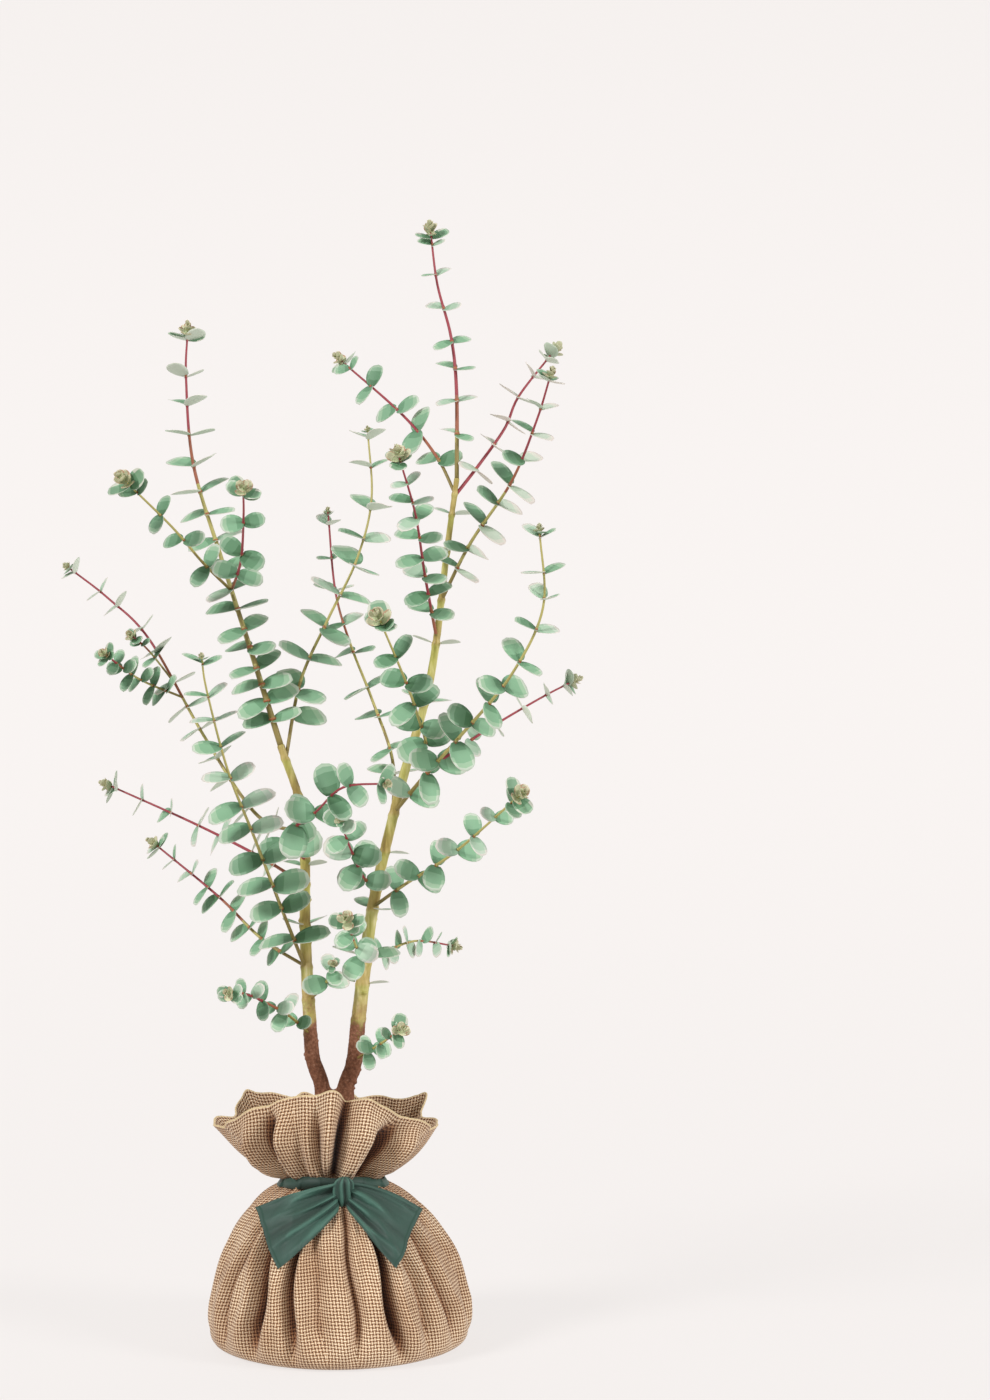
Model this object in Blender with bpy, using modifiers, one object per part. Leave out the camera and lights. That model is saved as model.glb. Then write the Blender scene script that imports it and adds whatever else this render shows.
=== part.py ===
"""A young silver-leaved gum tree with two stems, its root ball tied up in a burlap sack.

Units are metres and +Z is up. The origin is the middle of the sack's flat underside, and the
bow on the sack faces -Y. Every limb and every clump of leaves is one object. A clump is a
shoot: a thin stem with pairs of round leaves, each pair a quarter turn from the last.
"""

import math
import random

import bmesh
import bpy
from mathutils import Matrix, Vector
from mathutils.bvhtree import BVHTree

GAP = 0.0003  # air between neighbouring pieces
SEED = 11

# ---- The sack: half its width at each height, from the underside up to the tied neck.
SACK_PROFILE = (
    (0.100, 0.000),
    (0.110, 0.005),
    (0.114, 0.016),
    (0.111, 0.037),
    (0.105, 0.061),
    (0.098, 0.083),
    (0.087, 0.103),
    (0.073, 0.120),
    (0.060, 0.132),
    (0.046, 0.141),
    (0.037, 0.1465),
)
SACK_SIDES = 48
SACK_GATHERS = 13  # folds that run down from the neck
SACK_FOLD_DEPTH = 0.045  # of the sack's half width, half way up
NECK_FOLD_DEPTH = 0.012  # of its half width, near the neck
NECK_Z = SACK_PROFILE[-1][1]
NECK_R = SACK_PROFILE[-1][0]
NECK_X = -0.005  # the sack is tied a little to the left

# ---- The open ruffle of sack cloth above the tie.
COLLAR_CLOTH = (0.078, 0.068)  # cloth from the neck to the rim: front and back, sides
COLLAR_STEEP = (math.radians(66), math.radians(33))  # its slope: front and back, sides
COLLAR_THICK = 0.0022
COLLAR_RINGS = 6
COLLAR_FLUTES = 11
COLLAR_FLUTE_RISE = 0.15  # how much a flute changes the slope at the rim, in radians
COLLAR_FLUTE_REACH = 0.10  # how much it changes the reach
COLLAR_BELL = 0.4  # how much flatter the front and back start than they end, in radians
COLLAR_FOOT = 0.006  # height of its upright foot in the tie
COLLAR_SUNK = 0.0012  # how far inside the neck the middle of its cloth stands
COLLAR_LEAN = -0.006  # how far its rim leans to the left

# ---- The ribbon: a twisted band round the neck, a knot in front and two hanging tails.
BAND_HALF_THICK = 0.0045
RIBBON_GAP = 0.0004  # between the cloth, the band, the knot and the tails
BAND_R = NECK_R + GAP + BAND_HALF_THICK + RIBBON_GAP
BAND_Z = NECK_Z + 0.0028
KNOT_PLACE = Vector((0.003, -0.0555, 0.1465))
KNOT_SIZE = (0.015, 0.012, 0.026)
KNOT_LEAN = math.radians(-43)
TAIL_CORNERS = {  # at the knot: top and foot; at the free end: top and foot
    "ribbon_left_tail": ((0.001, -0.058, 0.154), (0.000, -0.071, 0.135),
                         (-0.063, -0.046, 0.125), (-0.046, -0.090, 0.083)),
    "ribbon_right_tail": ((0.005, -0.058, 0.154), (0.006, -0.071, 0.135),
                          (0.074, -0.036, 0.124), (0.055, -0.085, 0.082)),
}
TAIL_STEPS = 6
TAIL_THICK = 0.0012
TAIL_OFF_SACK = 0.0035  # how far the tails' cloth stands off the sack's folds
TAIL_PLEAT = 0.003  # depth of the pleats where a tail leaves the knot

# ---- The trunk and its two stems. A limb is a smooth line through its points.
TRUNK_SECTIONS = (  # half width, half depth, height
    (0.0205, 0.0180, NECK_Z + GAP),
    (0.0170, 0.0150, 0.1560),
    (0.0145, 0.0120, 0.1850),
    (0.0160, 0.0105, 0.2080),
    (0.0180, 0.0090, 0.2245),
)
TRUNK_X = -0.004
TRUNK_SIDES = 16
STEM_SIDES = 8
STEM_STEP = 0.030  # length of one straight piece of stem
STEM_FOOT = 0.004  # height of its upright foot
STEM_MIDDLE = 0.35  # share of its length where a stem has its middle radius
FORK_Z = TRUNK_SECTIONS[-1][2] + GAP
LEFT_STEM = {
    "through": ((-0.014, 0.0, FORK_Z), (-0.024, 0.0, 0.267), (-0.029, 0.005, 0.360),
                (-0.031, 0.011, 0.460), (-0.051, 0.018, 0.525)),
    "radius": (0.0068, 0.0052, 0.0034),
}
RIGHT_STEM = {
    "through": ((0.006, 0.0, FORK_Z), (0.017, -0.004, 0.290), (0.031, -0.008, 0.387),
                (0.055, -0.012, 0.490), (0.081, -0.011, 0.585), (0.096, -0.008, 0.700),
                (0.104, -0.005, 0.758)),
    "radius": (0.0072, 0.0048, 0.0023),
}

# ---- Leaves and twigs.
LEAF_SIDES = 6
LEAF_WIDTH = 0.92  # of its length
LEAF_THICK = 0.0010
LEAF_THICKEST = 0.28  # share of its length from the foot
LEAF_FOOT = 0.0005  # how far the foot is sunk past the middle of the twig
LEAF_ROOM = (0.0012, 2.2)  # extra length, and times the thickness, kept free about a leaf
LEAF_TURNS = (0.0, 0.22, -0.22, 0.45, -0.45)  # turns tried for a leaf that meets something
LEAF_SHRINKS = (1.0, 0.85, 0.7)  # sizes tried for it
YOUNG_SHARE = 0.45  # of a shoot, from its tip, on which leaves are still growing
YOUNG_SIZE = 0.62  # size of the youngest leaf beside a grown one
YOUNG_RISE = math.radians(42)  # lift of the youngest leaf
GROWN_RISE = math.radians(12)  # lift of a grown leaf
PAIR_STEP = 0.0013  # the second leaf of a pair sits this much lower
TWIG_SIDES = 3
TWIG_TIP = 0.0010  # radius
TWIG_STEP = 0.021  # length of one straight piece of twig
BUD_SIZE = (0.008, 0.008, 0.013)
STEM_BARE = 0.016  # bare foot of a shoot on a stem
SIDE_BARE = 0.010  # bare foot of a shoot on another shoot
FIRST_PAIR = 0.30  # place of the first pair below the tip, in steps between pairs
PAIR_TURN = math.radians(38)  # a pair stands this far to one side or the other of the left

# ---- The shoots. Each leaves its stem at the height `joint`, passes through its points and
# ends at the last one, with `pairs` pairs of leaves, the largest `leaf` long, on a twig of
# radius `twig` at its foot. A shoot `on` another shoot leaves it at the share `joint` of its
# length, and is fused to it. Pairs stand `crowd` times as far apart at the foot as at the tip.
STEMS = ("left_stem", "right_stem")
SHOOTS = (
    dict(name="left_leader", on="left_stem", joint=0.5245, pairs=17, leaf=0.030, twig=0.0030,
         crowd=0.45, through=((-0.076, 0.035, 0.601), (-0.105, 0.050, 0.689),
                              (-0.130, 0.060, 0.771), (-0.137, 0.070, 0.847),
                              (-0.136, 0.075, 0.888))),
    dict(name="left_leader_side", on="left_leader", joint=0.38, pairs=4, leaf=0.023,
         twig=0.0015, through=((-0.118, 0.020, 0.684), (-0.142, -0.020, 0.716),
                               (-0.176, -0.070, 0.754))),
    dict(name="left_leader_front", on="left_leader", joint=0.38, pairs=3, leaf=0.026,
         twig=0.0015, through=((-0.083, -0.010, 0.687), (-0.077, -0.060, 0.724),
                               (-0.075, -0.090, 0.747))),
    dict(name="left_outer_shoot", on="left_stem", joint=0.449, pairs=12, leaf=0.024,
         twig=0.0019, through=((-0.072, 0.035, 0.461), (-0.122, 0.075, 0.528),
                               (-0.175, 0.115, 0.614), (-0.215, 0.140, 0.651),
                               (-0.253, 0.155, 0.679))),
    dict(name="left_outer_twig", on="left_outer_shoot", joint=0.52, pairs=5, leaf=0.021,
         twig=0.0013, through=((-0.180, 0.075, 0.580), (-0.207, 0.045, 0.603))),
    dict(name="left_outer_bud", on="left_outer_shoot", joint=0.56, pairs=2, leaf=0.017,
         twig=0.0012, through=((-0.173, 0.095, 0.604), (-0.187, 0.085, 0.618))),
    dict(name="left_front_shoot", on="left_stem", joint=0.327, pairs=12, leaf=0.031,
         twig=0.0019, through=((-0.047, -0.030, 0.385), (-0.068, -0.080, 0.454),
                               (-0.087, -0.115, 0.512), (-0.102, -0.145, 0.581),
                               (-0.105, -0.155, 0.608))),
    dict(name="left_back_shoot", on="left_stem", joint=0.403, pairs=7, leaf=0.023,
         twig=0.0017, through=((-0.073, 0.045, 0.425), (-0.137, 0.110, 0.449),
                               (-0.218, 0.170, 0.478))),
    dict(name="left_low_shoot", on="left_stem", joint=0.331, pairs=9, leaf=0.020,
         twig=0.0017, through=((-0.069, 0.030, 0.353), (-0.110, 0.070, 0.386),
                               (-0.171, 0.120, 0.428))),
    dict(name="centre_front_shoot", on="left_stem", joint=0.425, pairs=6, leaf=0.032,
         twig=0.0016, through=((-0.043, -0.055, 0.450), (-0.014, -0.110, 0.476),
                               (0.011, -0.150, 0.500), (0.048, -0.185, 0.506))),
    dict(name="left_spur", on="left_stem", joint=0.302, pairs=2, leaf=0.023, twig=0.0014,
         through=((-0.011, -0.020, 0.318), (-0.002, -0.050, 0.340))),
    dict(name="left_bottom_shoot", on="left_stem", joint=0.272, pairs=5, leaf=0.024,
         twig=0.0015, through=((-0.043, -0.035, 0.295), (-0.071, -0.085, 0.318),
                               (-0.086, -0.120, 0.325))),
    dict(name="centre_high_shoot", on="left_stem", joint=0.512, pairs=10, leaf=0.031,
         twig=0.0020, through=((-0.035, 0.045, 0.579), (-0.012, 0.070, 0.633),
                               (0.013, 0.090, 0.686), (0.026, 0.105, 0.740),
                               (0.022, 0.125, 0.803))),
    dict(name="top_leader", on="right_stem", joint=0.7575, pairs=7, leaf=0.022, twig=0.0021,
         through=((0.103, 0.012, 0.843), (0.096, 0.028, 0.894), (0.081, 0.045, 0.974))),
    dict(name="top_left_shoot", on="right_stem", joint=0.745, pairs=5, leaf=0.026,
         twig=0.0017, through=((0.086, 0.020, 0.777), (0.055, 0.065, 0.815),
                               (-0.002, 0.140, 0.866))),
    dict(name="top_right_shoot", on="right_stem", joint=0.742, pairs=6, leaf=0.023,
         twig=0.0017, through=((0.124, 0.010, 0.771), (0.146, 0.035, 0.803),
                               (0.158, 0.055, 0.831), (0.189, 0.095, 0.872))),
    dict(name="right_high_shoot", on="right_stem", joint=0.652, pairs=9, leaf=0.027,
         twig=0.0018, through=((0.116, -0.035, 0.702), (0.151, -0.070, 0.754),
                               (0.172, -0.100, 0.805), (0.183, -0.115, 0.841))),
    dict(name="right_inner_shoot", on="right_stem", joint=0.619, pairs=9, leaf=0.025,
         twig=0.0016, through=((0.077, -0.050, 0.675), (0.070, -0.090, 0.726),
                               (0.057, -0.120, 0.774))),
    dict(name="centre_back_shoot", on="right_stem", joint=0.464, pairs=9, leaf=0.026,
         twig=0.0017, through=((0.047, 0.020, 0.512), (0.028, 0.055, 0.563),
                               (0.007, 0.085, 0.613), (-0.007, 0.110, 0.659),
                               (-0.015, 0.145, 0.729))),
    dict(name="right_front_shoot", on="right_stem", joint=0.519, pairs=6, leaf=0.028,
         twig=0.0016, crowd=0.7, through=((0.077, -0.035, 0.528), (0.072, -0.070, 0.553),
                                          (0.062, -0.105, 0.586), (0.042, -0.155, 0.639))),
    dict(name="right_arch_shoot", on="right_stem", joint=0.468, pairs=12, leaf=0.030,
         twig=0.0020, through=((0.077, -0.050, 0.503), (0.110, -0.095, 0.542),
                               (0.151, -0.125, 0.593), (0.177, -0.130, 0.649),
                               (0.174, -0.130, 0.713))),
    dict(name="right_arch_side", on="right_arch_shoot", joint=0.24, pairs=5, leaf=0.020,
         twig=0.0014, through=((0.133, -0.050, 0.544), (0.176, 0.010, 0.566),
                               (0.205, 0.050, 0.579))),
    dict(name="centre_low_shoot", on="right_stem", joint=0.401, pairs=5, leaf=0.028,
         twig=0.0015, through=((0.024, -0.045, 0.415), (0.015, -0.095, 0.444),
                               (0.008, -0.140, 0.472))),
    dict(name="right_low_shoot", on="right_stem", joint=0.385, pairs=7, leaf=0.025,
         twig=0.0017, through=((0.060, -0.045, 0.409), (0.103, -0.105, 0.442),
                               (0.157, -0.185, 0.496))),
    dict(name="right_back_shoot", on="right_stem", joint=0.335, pairs=6, leaf=0.019,
         twig=0.0014, through=((0.036, 0.020, 0.340), (0.065, 0.070, 0.346),
                               (0.098, 0.120, 0.336))),
    dict(name="right_spur", on="right_stem", joint=0.331, pairs=4, leaf=0.022, twig=0.0014,
         through=((0.019, -0.055, 0.353), (0.012, -0.110, 0.385))),
    dict(name="right_bottom_shoot", on="right_stem", joint=0.250, pairs=4, leaf=0.018,
         twig=0.0013, through=((0.033, -0.035, 0.266), (0.056, -0.070, 0.286))),
)


# ---- Scene, materials and small tools


def clear_scene():
    """Remove every object and make the collections for the plant and for its cutters."""
    for old in list(bpy.data.objects):
        bpy.data.objects.remove(old, do_unlink=True)
    plant = bpy.data.collections.new("sapling_with_root_ball")
    helpers = bpy.data.collections.new("helpers")
    bpy.context.scene.collection.children.link(plant)
    bpy.context.scene.collection.children.link(helpers)
    return plant, helpers


def material(name, colour, roughness):
    """A plain Principled material of one colour."""
    made = bpy.data.materials.new(name)
    made.use_nodes = True
    shader = made.node_tree.nodes["Principled BSDF"]
    shader.inputs["Base Color"].default_value = (*colour, 1.0)
    shader.inputs["Roughness"].default_value = roughness
    shader.inputs["Metallic"].default_value = 0.0
    return made


def mesh_object(name, mesh, collection, surface):
    """An object for a finished mesh."""
    made = bpy.data.objects.new(name, mesh)
    mesh.materials.clear()
    mesh.materials.append(surface)
    collection.objects.link(made)
    return made


def mesh_from(bm, name):
    """A new mesh from a bmesh, with its faces pointing out."""
    bmesh.ops.recalc_face_normals(bm, faces=bm.faces)
    mesh = bpy.data.meshes.new(name)
    bm.to_mesh(mesh)
    bm.free()
    return mesh


def applied(thing):
    """The object's mesh with its modifiers worked in."""
    bpy.context.view_layer.update()
    evaluated = thing.evaluated_get(bpy.context.evaluated_depsgraph_get())
    return bpy.data.meshes.new_from_object(evaluated)


def boolean(thing, operation, other):
    """Join or cut one object with another, or with a whole collection, for good."""
    change = thing.modifiers.new("boolean", "BOOLEAN")
    change.operation = operation
    change.solver = "EXACT"
    if isinstance(other, bpy.types.Collection):
        change.operand_type = "COLLECTION"
        change.collection = other
    else:
        change.object = other
    mesh = applied(thing)
    thing.modifiers.clear()
    thing.data = mesh


def as_cutter(thing):
    """Hide an object from renders, as it only cuts others."""
    thing.hide_render = True
    thing.display_type = "WIRE"
    return thing


def move_to(thing, collection):
    """Keep an object in one collection only."""
    for old in list(thing.users_collection):
        old.objects.unlink(thing)
    collection.objects.link(thing)


def loft(bm, rings):
    """Faces between each closed ring of vertices and the next."""
    for lower, upper in zip(rings, rings[1:]):
        for i in range(len(lower)):
            j = (i + 1) % len(lower)
            bm.faces.new((lower[i], lower[j], upper[j], upper[i]))


def thickened(sheet, thickness):
    """The mesh of a sheet given thickness on both its sides. The sheet is removed."""
    thicken = sheet.modifiers.new("thicken", "SOLIDIFY")
    thicken.thickness = thickness
    thicken.offset = 0.0
    mesh = applied(sheet)
    bpy.data.objects.remove(sheet)
    return mesh


def line_through(points, step, start=None):
    """Points about `step` apart on a smooth line through the given ones."""
    points = [Vector(p) for p in points]
    before = points[0] - start if start else points[0] * 2 - points[1]
    ends = [before, *points, points[-1] * 2 - points[-2]]
    line = [points[0]]
    for a, b, c, d in zip(ends, ends[1:], ends[2:], ends[3:]):
        pieces = max(1, round((c - b).length / step))
        for i in range(1, pieces + 1):
            t = i / pieces
            bend = (2 * a - 5 * b + 4 * c - d) * t**2 + (3 * b - a - 3 * c + d) * t**3
            line.append((2 * b + (c - a) * t + bend) / 2)
    return line


def lengths_along(line):
    """The distance of each point from the line's start."""
    total = [0.0]
    for a, b in zip(line, line[1:]):
        total.append(total[-1] + (b - a).length)
    return total


def place_on(line, distance):
    """The point and the direction of a line at a distance from its start."""
    lengths = lengths_along(line)
    for i in range(len(line) - 1):
        if distance <= lengths[i + 1] or i == len(line) - 2:
            along = (distance - lengths[i]) / (lengths[i + 1] - lengths[i])
            direction = (line[i + 1] - line[i]).normalized()
            return line[i].lerp(line[i + 1], min(along, 1.0)), direction


def at_height(line, height):
    """The point where a rising line reaches a height."""
    for a, b in zip(line, line[1:]):
        if b.z >= height:
            return a.lerp(b, (height - a.z) / (b.z - a.z))
    return line[-1].copy()


def tube(name, line, radii, sides, collection, surface):
    """A closed tapering tube of flat sides along a line."""
    ring = bpy.data.curves.new(name + "_ring", "CURVE")
    loop = ring.splines.new("POLY")
    loop.points.add(sides - 1)
    loop.use_cyclic_u = True
    for i, point in enumerate(loop.points):
        angle = 2 * math.pi * i / sides
        point.co = (math.cos(angle), math.sin(angle), 0.0, 1.0)
    ring_object = bpy.data.objects.new(name + "_ring", ring)
    collection.objects.link(ring_object)

    curve = bpy.data.curves.new(name, "CURVE")
    curve.dimensions = "3D"
    curve.bevel_mode = "OBJECT"
    curve.bevel_object = ring_object
    curve.use_fill_caps = True
    spline = curve.splines.new("POLY")
    spline.points.add(len(line) - 1)
    for point, place, radius in zip(spline.points, line, radii):
        point.co = (*place, 1.0)
        point.radius = radius
    guide = bpy.data.objects.new(name, curve)
    collection.objects.link(guide)
    bm = bmesh.new()
    bm.from_mesh(applied(guide))
    bpy.data.objects.remove(guide)
    bpy.data.objects.remove(ring_object)
    bmesh.ops.remove_doubles(bm, verts=bm.verts, dist=0.00001)
    return mesh_object(name, mesh_from(bm, name), collection, surface)


# ---- The sack and its ribbon


def sack_radius(height):
    """Half the sack's width at a height, before its gathers."""
    for (r0, z0), (r1, z1) in zip(SACK_PROFILE, SACK_PROFILE[1:]):
        if height <= z1:
            return r0 + (r1 - r0) * (height - z0) / (z1 - z0)
    return NECK_R


def gather(angle, count, phase):
    """The rise and fall of gathered cloth round the sack, between -1 and 1."""
    main = math.cos(count * angle + 0.9 * math.sin(2 * angle + phase))
    small = math.cos((count + 6) * angle + 2.0 + phase)
    return 0.7 * main + 0.3 * small


def make_sack_body(plant, cloth):
    """The filled part of the sack: a turned shape whose wall is drawn in folds at the neck."""
    profile = bpy.data.meshes.new("sack_profile")
    points = [(r, 0.0, z) for r, z in reversed(SACK_PROFILE)]
    profile.from_pydata(points, [(i, i + 1) for i in range(len(points) - 1)], [])
    turned = bpy.data.objects.new("sack_turned", profile)
    plant.objects.link(turned)
    screw = turned.modifiers.new("turn", "SCREW")
    screw.steps = SACK_SIDES
    screw.render_steps = SACK_SIDES
    screw.use_merge_vertices = True
    screw.merge_threshold = 0.0001
    bm = bmesh.new()
    bm.from_mesh(applied(turned))
    bpy.data.objects.remove(turned)
    bmesh.ops.remove_doubles(bm, verts=bm.verts, dist=0.0001)
    bmesh.ops.holes_fill(bm, edges=[e for e in bm.edges if e.is_boundary], sides=0)
    for v in bm.verts:
        angle = math.atan2(v.co.y, v.co.x)
        rise = v.co.z / NECK_Z
        depth = SACK_FOLD_DEPTH * math.sin(math.pi * min(rise, 1.0)) + NECK_FOLD_DEPTH * rise
        is_flat = v.co.z < 0.001 or v.co.z > NECK_Z - 0.001
        swell = 0.0 if is_flat else depth * gather(angle, SACK_GATHERS, 0.0)
        v.co.x = v.co.x * (1 + swell) + NECK_X * rise**2
        v.co.y *= 1 + swell
    return mesh_object("sack_body", mesh_from(bm, "sack_body"), plant, cloth)


def collar_point(angle, out):
    """A point on the collar's cloth: `out` runs from 0 at the tie to 1 at the rim."""
    sideways = math.cos(angle) ** 4
    steep, flat = COLLAR_STEEP
    full, short = COLLAR_CLOTH
    fold = gather(angle, COLLAR_FLUTES, 1.3)
    slope = steep + (flat - steep) * sideways
    slope -= COLLAR_FLUTE_RISE * fold * out + COLLAR_BELL * (1 - out) * (1 - sideways)
    cloth = (full + (short - full) * sideways) * out
    reach = NECK_R - COLLAR_SUNK + cloth * math.cos(slope) * (1 + COLLAR_FLUTE_REACH * fold)
    middle = NECK_X + COLLAR_LEAN * out
    height = NECK_Z + GAP + cloth * math.sin(slope)
    return Vector((middle + reach * math.cos(angle), reach * math.sin(angle), height))


def make_sack_collar(plant, cloth):
    """The open ruffle: it stands steep in front and behind and lies flatter at its sides."""
    bm = bmesh.new()
    rings = []
    for k in range(COLLAR_RINGS):
        out = max(k - 1, 0) / (COLLAR_RINGS - 2)
        foot = Vector((0.0, 0.0, COLLAR_FOOT if k else 0.0))
        angles = [2 * math.pi * i / SACK_SIDES for i in range(SACK_SIDES)]
        rings.append([bm.verts.new(collar_point(angle, out) + foot) for angle in angles])
    loft(bm, rings)
    sheet = mesh_object("collar_sheet", mesh_from(bm, "collar_sheet"), plant, cloth)
    mesh = thickened(sheet, COLLAR_THICK)
    for v in mesh.vertices:
        v.co.z = max(v.co.z, NECK_Z + GAP)
    return mesh_object("sack_collar", mesh, plant, cloth)


def make_ribbon_band(plant, ribbon, grow=0.0):
    """The twisted band round the neck: a ring, a little taller than it is thick."""
    bpy.ops.mesh.primitive_torus_add(
        major_segments=32, minor_segments=6, major_radius=BAND_R,
        minor_radius=BAND_HALF_THICK + grow,
    )
    band = bpy.context.object
    band.name = "ribbon_band"
    band.data.transform(Matrix.Translation((NECK_X, 0.0, BAND_Z)))
    mesh = band.data.copy()
    bpy.data.objects.remove(band)
    return mesh_object("ribbon_band", mesh, plant, ribbon)


def make_ribbon_knot(plant, ribbon, grow=0.0):
    """The knot: a soft bead that leans out over the sack's shoulder."""
    bm = bmesh.new()
    bmesh.ops.create_uvsphere(bm, u_segments=14, v_segments=10, radius=0.5)
    size = [side + 2 * grow for side in KNOT_SIZE]
    shape = Matrix.Diagonal((*size, 1.0))
    turn = Matrix.Rotation(KNOT_LEAN, 4, "X")
    bmesh.ops.transform(bm, matrix=Matrix.Translation(KNOT_PLACE) @ turn @ shape, verts=bm.verts)
    return mesh_object("ribbon_knot", mesh_from(bm, "ribbon_knot"), plant, ribbon)


def make_ribbon_tail(name, corners, plant, ribbon):
    """One tail of the bow: a sheet that widens from the knot and lies over the sack."""
    root_top, root_foot, end_top, end_foot = (Vector(c) for c in corners)
    bm = bmesh.new()
    grid = []
    for i in range(TAIL_STEPS + 1):
        row = []
        for j in range(TAIL_STEPS + 1):
            out = i / TAIL_STEPS
            down = j / TAIL_STEPS
            place = root_top.lerp(root_foot, down).lerp(end_top.lerp(end_foot, down), out)
            reach = sack_radius(place.z) * (1 + SACK_FOLD_DEPTH) + TAIL_OFF_SACK
            if abs(place.x) < reach:
                place.y = min(place.y, -math.sqrt(reach**2 - place.x**2))
            place.y -= TAIL_PLEAT * math.sin(3 * math.pi * down) * (1 - out)
            row.append(bm.verts.new(place))
        grid.append(row)
    for a, b in zip(grid, grid[1:]):
        for j in range(TAIL_STEPS):
            bm.faces.new((a[j], a[j + 1], b[j + 1], b[j]))
    sheet = mesh_object(name + "_sheet", mesh_from(bm, name), plant, ribbon)
    return mesh_object(name, thickened(sheet, TAIL_THICK), plant, ribbon)


def make_ribbon(plant, helpers, ribbon):
    """The band, the knot cut clear of it and the tails cut clear of the knot."""
    make_ribbon_band(plant, ribbon)
    knot = make_ribbon_knot(plant, ribbon)
    band_cutter = as_cutter(make_ribbon_band(helpers, ribbon, RIBBON_GAP))
    boolean(knot, "DIFFERENCE", band_cutter)
    knot_cutter = as_cutter(make_ribbon_knot(helpers, ribbon, RIBBON_GAP))
    for name, corners in TAIL_CORNERS.items():
        tail = make_ribbon_tail(name, corners, plant, ribbon)
        boolean(tail, "DIFFERENCE", knot_cutter)
        boolean(tail, "DIFFERENCE", band_cutter)
    bpy.data.objects.remove(band_cutter)
    bpy.data.objects.remove(knot_cutter)


# ---- The trunk and the stems


def make_trunk(plant, bark):
    """The short trunk: ovals joined from its flare on the root ball up to its wide fork."""
    bm = bmesh.new()
    rings = []
    for half_width, half_depth, height in TRUNK_SECTIONS:
        ring = bmesh.ops.create_circle(bm, segments=TRUNK_SIDES, radius=1.0)["verts"]
        shape = Matrix.Diagonal((half_width, half_depth, 1.0, 1.0))
        place = Matrix.Translation((TRUNK_X, 0.0, height))
        bmesh.ops.transform(bm, matrix=place @ shape, verts=ring)
        rings.append(ring)
    loft(bm, rings)
    bmesh.ops.holes_fill(bm, edges=[e for e in bm.edges if e.is_boundary], sides=0)
    return mesh_object("trunk", mesh_from(bm, "trunk"), plant, bark)


def stem_line(stem):
    """A stem's centre line, whose first short piece stands upright on the trunk."""
    foot, *rest = line_through(stem["through"], STEM_STEP, start=Vector((0.0, 0.0, 0.03)))
    return [foot, foot + Vector((0.0, 0.0, STEM_FOOT)), *rest]


def stem_radii(stem, line):
    """The stem's radius at each point: from its thick foot over its middle to its tip."""
    foot, middle, tip = stem["radius"]
    lengths = lengths_along(line)
    radii = []
    for distance in lengths:
        share = distance / lengths[-1]
        if share < STEM_MIDDLE:
            radii.append(foot + (middle - foot) * share / STEM_MIDDLE)
        else:
            radii.append(middle + (tip - middle) * (share - STEM_MIDDLE) / (1 - STEM_MIDDLE))
    return radii


def longer_line(line, extra):
    """The same line, made longer at both ends."""
    start = line[0] - (line[1] - line[0]).normalized() * extra
    end = line[-1] + (line[-1] - line[-2]).normalized() * extra
    return [start, *line[1:-1], end]


# ---- The shoots


def flat_leaf_mesh(length):
    """A leaf in its own frame: its foot just behind the origin, its blade along +X.

    It is thickest near its foot, which is sunk past the middle of its twig.
    """
    bm = bmesh.new()
    bmesh.ops.create_uvsphere(bm, u_segments=LEAF_SIDES, v_segments=2, radius=0.5)
    corner_ahead = Matrix.Rotation(math.pi / LEAF_SIDES, 4, "Z")
    bmesh.ops.transform(bm, matrix=corner_ahead, verts=bm.verts)
    for v in bm.verts:
        if abs(v.co.z) > 0.1:
            v.co.x = LEAF_THICKEST - 0.5
    shape = Matrix.Diagonal((length + LEAF_FOOT, length * LEAF_WIDTH, LEAF_THICK, 1.0))
    ahead = Matrix.Translation((length / 2 - LEAF_FOOT / 2, 0.0, 0.0))
    bmesh.ops.transform(bm, matrix=ahead @ shape, verts=bm.verts)
    return bm


def leaf_frame(place, stem_direction, turn, rise):
    """The matrix of a leaf that leaves its twig at a turn about it, lifted by `rise`."""
    side = stem_direction.cross(Vector((0.0, 1.0, 0.0)))
    if side.length < 0.05:
        side = stem_direction.cross(Vector((1.0, 0.0, 0.0)))
    side.normalize()
    front = side.cross(stem_direction)
    away = side * math.cos(turn) + front * math.sin(turn)
    along = away * math.cos(rise) + stem_direction * math.sin(rise)
    up = stem_direction * math.cos(rise) - away * math.sin(rise)
    across = up.cross(along)
    axes = Matrix((along, across, up)).transposed().to_4x4()
    return Matrix.Translation(place) @ axes


def leaf_nodes(shoot, line, chance):
    """Where a shoot's pairs of leaves sit: distance, leaf length, turn and rise of each."""
    whole = lengths_along(line)[-1]
    bare = STEM_BARE if shoot["on"] in STEMS else SIDE_BARE
    closer = shoot.get("crowd", 1.0) - 1
    nodes = []
    for k in range(shoot["pairs"]):
        share = (FIRST_PAIR + k + chance.uniform(-0.16, 0.16)) / shoot["pairs"]
        from_tip = (whole - bare) * (share + closer * share**2 / 2) / (1 + closer / 2)
        grown = min(from_tip / (YOUNG_SHARE * whole), 1.0)
        size = YOUNG_SIZE + (1 - YOUNG_SIZE) * grown
        length = shoot["leaf"] * size * chance.uniform(0.90, 1.08)
        turn = PAIR_TURN * (-1) ** k + chance.uniform(-0.30, 0.30)
        rise = YOUNG_RISE + (GROWN_RISE - YOUNG_RISE) * grown + chance.uniform(-0.12, 0.12)
        nodes.append((whole - from_tip, length, turn, rise))
    return nodes


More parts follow.
